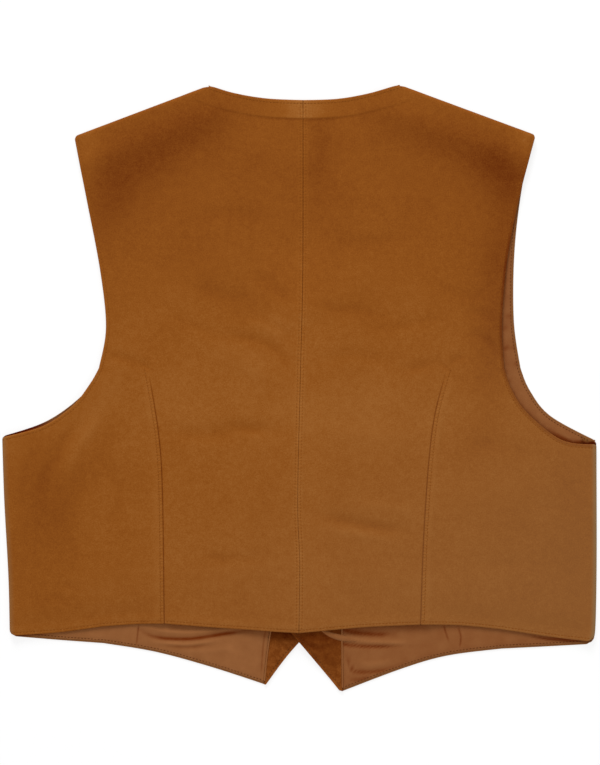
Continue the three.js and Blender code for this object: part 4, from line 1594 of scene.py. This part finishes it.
        # Painted shade in the middle seam's and the dart's gullies and below the neck band's edge.
        seam = np.maximum.reduce([
            (0.30 + 0.45 * smoothstep(y, -120, 120)) * bell(reach["seam"], 0.38),
            bell(reach["dart"], 0.42) * shown,
            0.35 * bell(reach["neck"] - NECK_BAND - 0.6, 0.9) * bell(x, 60),
        ])
        pucker = np.maximum(0.6 * bell(reach["seam"] - 2.0, 1.6), bell(reach["dart"] - 2.2, 1.6) * outer)
        side_rim = falloff(reach["side"], 2.5, 8.0) * (y < YOKE_Y)
        return {
            "tone_and_painted_light": tone_and_painted_light,
            "seam": seam,
            "pucker": pucker,
            "rub": falloff(net.from_edge, 0.3, 1.7),
            # A greyer painted sheen towards the lower right and on the side rims.
            "painted_sheen": 0.25 * smoothstep(0.8 * x - y, -20, 430) + self.rim_painted_sheen * side_rim,
        }

    def stitch_paths(self) -> list[np.ndarray]:
        """Gives the rows of stitches on the back's outer face."""
        sign = self.side.sign
        rows = [
            (beside(self.seam, -sign * SEAM_STITCH, (4.5, 3.0)), -0.06),
            (beside(self.laid["dart"].fine, -sign * DART_STITCH, (4.5, 1.0)), 0.0),
            (beside(self.hem, sign * HEM_STITCH, (1.5, 3.0)), 0.04),
            (beside(self.armhole, sign * ARMHOLE_STITCH, (3.0, 3.0)), 0.04),
            (beside(self.laid["neck"].fine, -sign * ARMHOLE_STITCH, (1.5, 3.0)), 0.04),
        ]
        return [height_over(self.surface, row, lift) for row, lift in rows]

    def build(self, finishes: Finishes, sewing: Sewing) -> list[bpy.types.Object]:
        """Builds the panel and its stitches.

        Args:
            finishes: The vest's materials.
            sewing: The stitch trees.

        Returns:
            The panel and its stitches.
        """
        net = Net(self.patches())
        flat = net.places
        outside = self.surface(flat)
        normals = net.normals(outside)
        turned_edges = [self.hem, self.armhole, self.laid["neck"].fine]
        from_turned = np.minimum.reduce([distance_to(line, flat) for line in turned_edges])
        thickness = LEATHER + TURNED * falloff(from_turned, TURN_DEPTH - 2, TURN_DEPTH)
        drawn = rounding(net.from_edge, thickness)[:, None]
        upper = outside - normals * drawn
        lower = outside - normals * (thickness[:, None] - drawn)
        name = f"suede_back_{self.side.value}"
        panel = closed_sheet(name, upper, lower, net, self.shades(flat, net))
        panel.data.materials.append(finishes.suede)
        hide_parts(f"back_{self.side.value}")
        settle(panel)
        stitches = sewing.rows(
            f"stitches_back_{self.side.value}", self.stitch_paths(), finishes.thread, "suede"
        )
        return [panel, stitches]


class Layer(Enum):
    """A layer of a front, with the name of the solid that it stands for."""

    SHELL = "front"
    FACED = "facing"
    LINED = "lining"


FRONT_STEPS = (0.12, 0.35, 0.7, 1.15, 1.6, 2.1, 2.7, 3.2, 3.8, 4.6, 5.6)
LINING_MARGIN = 1.7  # from the leather's edge to the lining's
FOLD_MARGIN = 8.6  # from a folded seam to the lining's edge
LINING_SEAMS = {Side.LEFT: ((107.5, 113.5),), Side.RIGHT: ((89.0, 95.5), (100.5, 106.0))}


@dataclass
class Front:
    """One front with its facing and lining, inside up."""

    side: Side
    flat_sizes: dict[Layer, tuple[float, float]]
    flat_areas: dict[Layer, float]
    cell: float = 4.2
    body_cell: float = 3.0
    strip_cell: float = 2.4
    hem_cell: float = 1.7
    seam_cell: float = 0.45
    cutaway_length: float = 60.0
    placket_length: float = 230.0
    upper_length: float = 250.0
    facing_width: float = 44.0
    body_width: float = 140.0
    flank_width: float = 84.0

    def __post_init__(self) -> None:
        """Draws the front's lines."""
        self.lines = seam_lines(FRONT_LINES[self.side.value])
        self.laid = unfolded(self.lines)
        self.hem = chained(self.laid["hem"], self.laid["hem_side"])
        self.armhole = chained(self.laid["underarm"], self.laid["armhole"])
        self.edge = chained(self.laid["cutaway"], self.laid["placket"], self.laid["vee"])
        self.facing_line = chained(self.laid["facing_low"], self.laid["facing"], self.laid["facing_high"])
        self.corners = outline_corners(self.lines, "vee")
        back = seam_lines(BACK_LINES[self.side.value])
        self.back_hem = chained(back["hem"], back["hem_outer"], back["hem_side"])
        self.back_armhole = chained(back["underarm"], back["armhole"])

    def patches(self, layer: Layer) -> list[Patch]:
        """Divides one layer into patches.

        Args:
            layer: Which of the front's layers.

        Returns:
            The patches that the layer covers, in whole or in part.
        """
        lines = self.laid
        edge_top, facing_top, underarm = lines["placket"].end, lines["facing"].end, lines["armhole"].start
        neck_point, facing_shoulder, shoulder_tip = lines["shoulder"].points
        rise = YOKE_Y - lines["cutaway"].start[1]
        turn = (lines["placket"].start[1] - lines["cutaway"].start[1]) / rise
        edge = joined(lines["cutaway"], lines["placket"], turn)
        facing = joined(lines["facing_low"], lines["facing"], turn)
        rail = straight(lines["hem"].end, underarm)
        low = Ruling(self.cutaway_length, self.hem_cell, FRONT_STEPS)
        high = Ruling(self.placket_length, self.cell, (), FRONT_STEPS)
        rows = np.concatenate([low.shares * turn, turn + high.shares[1:] * (1 - turn)])
        upper = Ruling(self.upper_length, self.cell, (), FOLD_STEPS).shares
        strip = Ruling(self.facing_width, self.strip_cell, FRONT_STEPS, (0.5, 1.2)).shares
        pleats = (0.5, 1.2, 1.9, 2.6, 3.3, 4.0, 4.7, 5.6)
        seams = np.concatenate([np.arange(*span, self.seam_cell) for span in LINING_SEAMS[self.side]])
        body = Ruling(self.body_width, self.body_cell, pleats, FRONT_STEPS, tuple(seams)).shares
        flank = Ruling(self.flank_width, self.cell, (), FOLD_STEPS).shares
        yoke_strip, yoke_body = straight(edge_top, facing_top), straight(facing_top, underarm)
        under = back_along(lines["underarm"])
        vee, facing_high = along(lines["vee"]), along(lines["facing_high"])
        chest = straight(neck_point, facing_shoulder)
        shoulder = straight(facing_shoulder, shoulder_tip)
        strips = [
            Patch(along(lines["point"]), yoke_strip, edge, facing, strip, rows),
            Patch(yoke_strip, chest, vee, facing_high, strip, upper),
        ]
        bodies = [
            Patch(along(lines["hem"]), yoke_body, facing, rail, body, rows),
            Patch(along(lines["hem_side"]), under, rail, along(lines["side"]), flank, rows),
            Patch(yoke_body, shoulder, facing_high, along(lines["armhole"]), body, upper),
        ]
        return {Layer.SHELL: strips + bodies, Layer.FACED: strips, Layer.LINED: bodies}[layer]

    def covered(self, layer: Layer) -> Field | None:
        """Gives the field of how far inside a layer's edge a place is.

        Args:
            layer: Which of the front's layers.

        Returns:
            The field, or nothing where the layer covers its patches whole.
        """
        if layer is Layer.SHELL:
            return None

        def inside(places: np.ndarray) -> np.ndarray:
            """Measures the room to the margins and the folds."""
            room = self.lines["shoulder"].depth_of(places) - FOLD_MARGIN
            if layer is Layer.LINED:
                past = np.abs(self.lines["side"].x_at(places[:, 1])) - np.abs(places[:, 0])
                aside = np.where(places[:, 1] < YOKE_Y, past - FOLD_MARGIN, 1000.0)
                hem = distance_to(self.hem, places) - LINING_MARGIN
                armhole = distance_to(self.armhole, places) - LINING_MARGIN
                room = np.minimum.reduce([room, aside, hem, armhole])
            return room

        return inside

    def outside(self, flat: np.ndarray) -> np.ndarray:
        """Gives the points of the leather's outer face, which lies underneath."""
        place, drop = roll(self.lines, flat)
        x, y = place.T
        height = BUTTON_LIFT * falloff(np.abs(x), 14, 60) * falloff(-y, 206, 240) * falloff(y, 45, 110)
        if self.side is Side.RIGHT:
            height += LAP_LIFT * falloff(x, 16, 62) * falloff(-y, 232, 262) * falloff(y, 68, 122)
        return np.column_stack([rounded_off(self.corners, place), height + drop])

    def ripple(self, layer: Layer, flat: np.ndarray, from_edge: np.ndarray) -> np.ndarray:
        """Gives how far a layer's folds stand off the leather.

        Args:
            layer: Which of the front's layers.
            flat: Points of the flat cloth.
            from_edge: How far they lie from the layer's own edge, where it is sewn down.

        Returns:
            The added height.
        """
        if layer is Layer.SHELL:
            return np.zeros(len(flat))
        table = LINING_CREASES if layer is Layer.LINED else FACING_CREASES
        folds = crease_sum(table[self.side.value], flat)
        slack = 0.55 if layer is Layer.LINED else 0.4
        return np.maximum(folds + slack, 0.0) * smoothstep(from_edge, 0.6, 4.5)

    def shades(self, layer: Layer, flat: np.ndarray, net: Net) -> dict[str, np.ndarray]:
        """Gives what the materials read at each point: colour with painted shade, shadow and highlight,
        painted shade at the seams, puckers, rubbed edges and a painted sheen.
        """
        out = np.abs(flat[:, 0])
        under_hem = distance_to(self.back_hem, flat)
        under_armhole = distance_to(self.back_armhole, flat)
        # Painted shadow under the back's hem and armhole edge, and painted shade in the slits at the sides.
        tone_and_painted_light = -0.12 * falloff(under_hem, 3, 8) * falloff(out, 95, 140)
        tone_and_painted_light -= 0.08 * falloff(under_hem, 0.3, 2.5)
        tone_and_painted_light -= 0.06 * falloff(under_armhole, 0.3, 4.0) + 0.12 * falloff(under_armhole, 0.2, 2.0)
        aside = smoothstep(out, 220, 240)
        slit = np.maximum(0.8 * falloff(under_hem, 0.8, 2.2), falloff(under_armhole, 1.8, 3.4)) * aside
        tone_and_painted_light += SLIT_PAINTED_SHADE * slit
        # Painted shade along the join of facing and lining.
        seam = 0.7 * bell(distance_to(self.facing_line, flat), 0.7)
        painted_sheen = np.zeros(len(flat))
        if layer is Layer.SHELL:
            # The shell's rim is darker, and gets a greyer painted sheen near its edges and at the sides,
            # except in the slits.
            outline = falloff(net.from_edge, 1.8, 2.8)
            tone_and_painted_light += SHELL_TONE * outline
            painted_sheen = 0.35 * np.maximum(outline, aside) * (1 - slit)
        if layer is Layer.FACED:
            # Painted shadow under the back's hem, and painted shade and highlight along the facing's
            # creases.
            shade, full, none = (0.34, 5.0, 9.5) if self.side is Side.LEFT else (0.24, 7.0, 24.0)
            tone_and_painted_light = 0.04 - shade * falloff(under_hem, full, none)
            tone_and_painted_light += FACING_CREASE_PAINTED_LIGHT * crease_sum(FACING_CREASES[self.side.value], flat)
        if layer is Layer.LINED:
            # Painted shade along the lining's narrow seams and pleats, painted shade and highlight along
            # its creases, and more painted shade in its furrows.
            table = LINING_CREASES[self.side.value]
            narrow = [crease.lift(flat) / crease.rise for crease in table if crease.width < 1.0]
            sunk = [crease for crease in table if crease.width >= 1.0 and crease.rise < 0]
            seam = np.maximum.reduce([seam, *(0.45 * line for line in narrow)])
            tone_and_painted_light += LINING_CREASE_PAINTED_LIGHT * crease_sum(table, flat)
            tone_and_painted_light += LINING_FURROW_PAINTED_SHADE * crease_sum(sunk, flat)
            tone_and_painted_light += 0.03 if self.side is Side.LEFT else -0.06
            tone_and_painted_light = np.clip(tone_and_painted_light, -0.46, 0.3)
        return {
            "tone_and_painted_light": tone_and_painted_light,
            "seam": seam,
            "pucker": 0.6 * bell(distance_to(self.hem, flat) - 3.4, 1.6),
            "rub": falloff(net.from_edge, 0.3, 1.6),
            "painted_sheen": painted_sheen,
        }

    def build_layer(
        self, layer: Layer, start: float, thickness: float, material: bpy.types.Material, slot: str
    ) -> bpy.types.Object:
        """Builds one layer.

        Args:
            layer: Which of the front's layers.
            start: How far its lower face lies from the leather's outer face.
            thickness: Its thickness.
            material: Its material.
            slot: The start of the layer's name, which the lining's name doesn't use.

        Returns:
            The layer's piece.
        """
        net = Net(self.patches(layer), self.covered(layer))
        flat = net.places
        face = self.outside(flat)
        normals = net.normals(face)
        raised = start + self.ripple(layer, flat, net.from_edge)
        drawn = rounding(net.from_edge, thickness)
        lower = face + normals * (raised + drawn)[:, None]
        upper = face + normals * (raised + thickness - drawn)[:, None]
        kind = "satin_lining" if layer is Layer.LINED else f"{slot}_{layer.value}"
        shades = self.shades(layer, flat, net)
        piece = closed_sheet(f"{kind}_{self.side.value}", upper, lower, net, shades)
        piece.data.materials.append(material)
        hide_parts(f"{layer.value}_{self.side.value}")
        return settle(piece)

    def inner_paths(self) -> list[np.ndarray]:
        """Gives the rows of stitches on the inside, along the front edge, the hem and the armhole."""
        sign = self.side.sign
        rows = [
            (beside(self.edge, -sign * ARMHOLE_STITCH, (4.0, 8.0)), LEATHER + LAYER_GAP + FACING + 0.22),
            (beside(self.hem, sign * 3.2, (1.5, 9.5)), LEATHER + LAYER_GAP + LINING + 0.1),
            (beside(self.armhole, sign * 2.8, (9.5, 9.5)), LEATHER + LAYER_GAP + LINING + 0.1),
        ]
        return [height_over(self.outside, row, lift) for row, lift in rows]

    def outer_paths(self) -> list[np.ndarray]:
        """Gives the rows of stitches on the outer face, which lies underneath."""
        sign = self.side.sign
        rows = [
            beside(self.edge, -sign * ARMHOLE_STITCH, (4.0, 8.0)),
            beside(self.hem, sign * 2.6, (1.5, 4.0)),
            beside(self.armhole, sign * 2.6, (4.0, 9.0)),
        ]
        return [height_over(self.outside, row, -0.02) for row in rows]

    def piping_path(self) -> np.ndarray:
        """Gives the line of the piping between the facing and the lining."""
        row = beside(self.facing_line, 0.0, (3.4, 12.0))
        return height_over(self.outside, row, LEATHER + FACING + 0.35)

    def build(self, finishes: Finishes, sewing: Sewing) -> list[bpy.types.Object]:
        """Builds the shell, the facing, the lining, the piping and the stitches.

        Args:
            finishes: The vest's materials.
            sewing: The stitch and piping trees.

        Returns:
            The front's pieces.
        """
        side = self.side.value
        inside = LEATHER + LAYER_GAP
        shell = self.build_layer(Layer.SHELL, 0.0, LEATHER, finishes.suede, "suede")
        facing = self.build_layer(Layer.FACED, inside, FACING, finishes.suede_inside, "suede_inside")
        lining = self.build_layer(Layer.LINED, inside, LINING, finishes.lining, "lining")
        outer = sewing.rows(f"stitches_front_{side}", self.outer_paths(), finishes.thread, "suede")
        inner = sewing.rows(
            f"stitches_inside_{side}", self.inner_paths(), finishes.lining_thread, "lining", length=2.0
        )
        values = {"Radius": 0.7 * MM, "Material": finishes.lining}
        piping = settle(sewing.piping.bake(f"piping_{side}", [self.piping_path()], values))
        below, over = "floor", []
        if self.side is Side.RIGHT:
            below, over = "suede_front_left", [SatinFold().build(self, finishes)]
        return [shell, facing, lining, outer, inner, piping, *over]


@dataclass
class SatinFold:
    """The fold of lining that spills over the right facing, below the back's hem."""

    line: Table = ((16.7, -215.5), (24, -219.5), (32, -222.8), (40, -224.8), (50, -226.2), (62, -227.2))
    half_width: float = 3.0
    rise: float = 1.5
    sunk: float = 0.2  # how much of the rise the underside goes down
    rings: int = 36
    sides: int = 14

    def build(self, front: Front, finishes: Finishes) -> bpy.types.Object:
        """Builds the fold on a front.

        Args:
            front: The front that carries it.
            finishes: The vest's materials.

        Returns:
            The closed fold, which tapers to both ends.
        """
        shares = np.linspace(0.02, 0.98, self.rings)
        swell = np.sin(math.pi * shares)[:, None] ** 0.7
        path = SeamLine(self.line).at(shares)
        run = np.gradient(path, axis=0)
        run /= np.linalg.norm(run, axis=1)[:, None]
        across = np.column_stack([-run[:, 1], run[:, 0]])[:, None]
        angles = np.arange(self.sides) * 2 * math.pi / self.sides
        reach = self.half_width * swell * np.cos(angles)
        points = front.outside((path[:, None] + across * reach[..., None]).reshape(-1, 2))
        lift = LEATHER + FACING + self.rise * swell * np.maximum(np.sin(angles), -self.sunk)
        points[:, 2] += lift.ravel()
        made = new_object("satin_fold", points, tube_faces(self.rings, self.sides))
        made.data.shade_smooth()
        made.data.materials.append(finishes.lining)
        return settle(made)


@dataclass
class Buttons:
    """Four-hole buttons on the outside of the lapped fronts, which lie on their faces."""

    radius: float = 9.5
    height: float = 2.4
    rim: float = 1.6
    dish: float = 0.5
    crisp: float = 50.0  # edges sharper than this many degrees stay sharp
    hole_radius: float = 1.0
    hole_offset: float = 1.75
    hole_sides: int = 14
    sides: int = 48
    bar_level: float = 0.42

    def profile(self) -> np.ndarray:
        """Gives the turned profile, as radius and height rows, from the face to the back."""
        r, h = self.radius, self.height
        return np.array([
            (0.0, self.dish), (r - 3.0 * self.rim, self.dish), (r - 2.1 * self.rim, self.dish * 0.8),
            (r - 1.5 * self.rim, 0.12), (r - 1.1 * self.rim, 0.0), (r - 0.9, 0.0), (r - 0.35, 0.18),
            (r, 0.7), (r, 1.1), (r - 0.25, 1.6), (r - 1.2, 2.15), (r - 2.8, h), (0.0, h),
        ])

    def blank(self, name: str, middle_y: float) -> bpy.types.Object:
        """Turns one button without its holes.

        Args:
            name: The new object's name.
            middle_y: Where its middle lies.

        Returns:
            The closed button.
        """
        profile, sides = self.profile(), self.sides
        rings = [ring_at(radius, (0.0, middle_y), height, sides) for radius, height in profile[1:-1]]
        face, back = ((0.0, middle_y, height) for height in (profile[0, 1], profile[-1, 1]))
        top, faces = 1 + (len(rings) - 1) * sides, []
        for k in range(sides):
            after = (k + 1) % sides
            faces.append([0, 1 + after, 1 + k])
            faces += [band_face(low, k, sides) for low in range(1, top, sides)]
            faces.append([top + k, top + after, top + sides])
        return new_object(name, np.vstack([face, *rings, back]), faces)

    def drill(self, button: bpy.types.Object, middle_y: float) -> None:
        """Cuts the four holes.

        Args:
            button: The button's blank.
            middle_y: Where its middle lies.
        """
        reach, sides = self.hole_offset, self.hole_sides
        rings, faces = [], []
        for spot in [(a, middle_y + b) for a in (-reach, reach) for b in (-reach, reach)]:
            faces += tube_faces(2, sides, len(rings) * sides)
            rings += [ring_at(self.hole_radius, spot, level, sides) for level in (-1.0, self.height + 1.0)]
        cutter = new_object("drill", np.vstack(rings), faces)
        cut = button.modifiers.new("holes", "BOOLEAN")
        cut.operation = "DIFFERENCE"
        cut.solver = "EXACT"
        cut.object = cutter
        apply_modifiers(button)
        bpy.data.objects.remove(cutter)

    def build(self, finishes: Finishes, sewing: Sewing) -> list[bpy.types.Object]:
        """Builds the buttons and the threads that hold them.

        Args:
            finishes: The vest's materials.
            sewing: The stitch trees.

        Returns:
            The buttons and the threads.
        """
        pieces, bars, reach = [], [], self.hole_offset
        for number in range(1, BUTTON_COUNT + 1):
            middle_y = BUTTON_TOP_Y - BUTTON_PITCH * (number - 1)
            ends = (middle_y - reach, middle_y + reach)
            bars += [np.array([[x, y, self.bar_level] for y in ends]) for x in (-reach, reach)]
            button = self.blank(f"horn_button_{number}", middle_y)
            self.drill(button, middle_y)
            button.data.shade_smooth()
            button.data.set_sharp_from_angle(angle=math.radians(self.crisp))
            button.data.materials.clear()
            button.data.materials.append(finishes.horn)
            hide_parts(f"button_{number}")
            pieces.append(settle(button))
        threads = sewing.rows("button_threads", bars, finishes.thread, "suede", pitch=2 * reach,
                              length=3.0, width=0.9, height=0.5)
        return [*pieces, threads]


@dataclass
class Studio:
    """The pale floor, the soft lights and the camera straight above the vest."""

    pixel: float = 0.9
    picture: tuple[int, int] = (600, 765)
    middle: tuple[float, float] = (0.45, 5.4)
    subject_level: float = 5.0
    lens: float = 85.0
    sensor: float = 36.0
    floor_reach: float = 4000.0
    floor_level: float = -0.2
    floor_glow: float = 0.77
    air: float = 0.52

    def floor(self) -> None:
        """Lays the floor just under the vest."""
        corners = [(-1, -1, 0), (1, -1, 0), (1, 1, 0), (-1, 1, 0)]
        made = new_object("floor", self.floor_reach * np.array(corners), [(0, 1, 2, 3)])
        made.location.z = self.floor_level * MM
        material, w, surface = new_material("pale_floor", (0.9, 0.9, 0.9))
        w.feed(surface, {
            "Base Color": (0.25, 0.25, 0.25, 1.0),
            "Roughness": 0.9,
            "Specular IOR Level": 0.1,
            "Emission Color": (1.0, 1.0, 1.0, 1.0),
            "Emission Strength": self.floor_glow,
        })
        made.data.materials.append(material)

    def light(self, name: str, place: tuple[float, float, float], size: float, power: float) -> None:
        """Hangs a soft square light that looks at the vest.

        Args:
            name: The light's name.
            place: Where it hangs, in metres.
            size: Its side, in metres.
            power: Its power in watts.
        """
        lamp = bpy.data.lights.new(name, "AREA")
        lamp.shape = "SQUARE"
        lamp.size = size
        lamp.energy = power
        made = bpy.data.objects.new(name, lamp)
        made.location = place
        bpy.context.scene.collection.objects.link(made)
        made.rotation_mode = "QUATERNION"
        made.rotation_quaternion = (-made.location).to_track_quat("-Z", "Y")

    def build(self) -> None:
        """Sets the floor, the lights, the air's light and the camera."""
        self.floor()
        scene = bpy.context.scene
        world = bpy.data.worlds.new("air")
        world.use_nodes = True
        glow = {"Color": (1.0, 1.0, 1.0, 1.0), "Strength": self.air}
        Wiring(world.node_tree).feed(world.node_tree.nodes["Background"], glow)
        scene.world = world
        self.light("key", (-0.35, 2.1, 1.45), 1.1, 42.0)
        self.light("fill", (0.5, -1.2, 2.0), 1.6, 10.0)
        scene.view_settings.view_transform = "Standard"
        scene.view_settings.look = "None"
        camera = bpy.data.cameras.new("camera")
        camera.lens = self.lens
        camera.sensor_width = self.sensor
        camera.clip_start, camera.clip_end = 0.05, 20.0
        made = bpy.data.objects.new("camera", camera)
        half_height = self.picture[1] * self.pixel / 2
        away = half_height * self.lens / (self.sensor / 2)
        made.location = (self.middle[0] * MM, self.middle[1] * MM, (self.subject_level + away) * MM)
        scene.collection.objects.link(made)
        scene.camera = made


def main() -> None:
    """Builds the studio, the materials and every piece of the vest, in order."""
    logging.basicConfig(level=logging.INFO, format="%(message)s")
    Studio().build()
    finishes = Finishes()
    sewing = Sewing(finishes)
    shell, facing, lining = Layer.SHELL, Layer.FACED, Layer.LINED
    assemblies = [
        Front(
            Side.LEFT,
            {shell: (0.2806, 0.539), facing: (0.132, 0.533), lining: (0.230, 0.515)},
            {shell: 0.1045, facing: 0.0233, lining: 0.0776},
        ),
        Front(
            Side.RIGHT,
            {shell: (0.2806, 0.546), facing: (0.140, 0.540), lining: (0.224, 0.523)},
            {shell: 0.110, facing: 0.0252, lining: 0.0814},
        ),
        BackPanel(Side.LEFT, (0.270, 0.495), 0.1035, rim_painted_sheen=0.35),
        BackPanel(Side.RIGHT, (0.270, 0.501), 0.1045, rim_painted_sheen=0.7),
        Buttons(),
    ]
    for assembly in assemblies:
        for piece in assembly.build(finishes, sewing):
            report(piece)


if __name__ == "__main__":
    main()
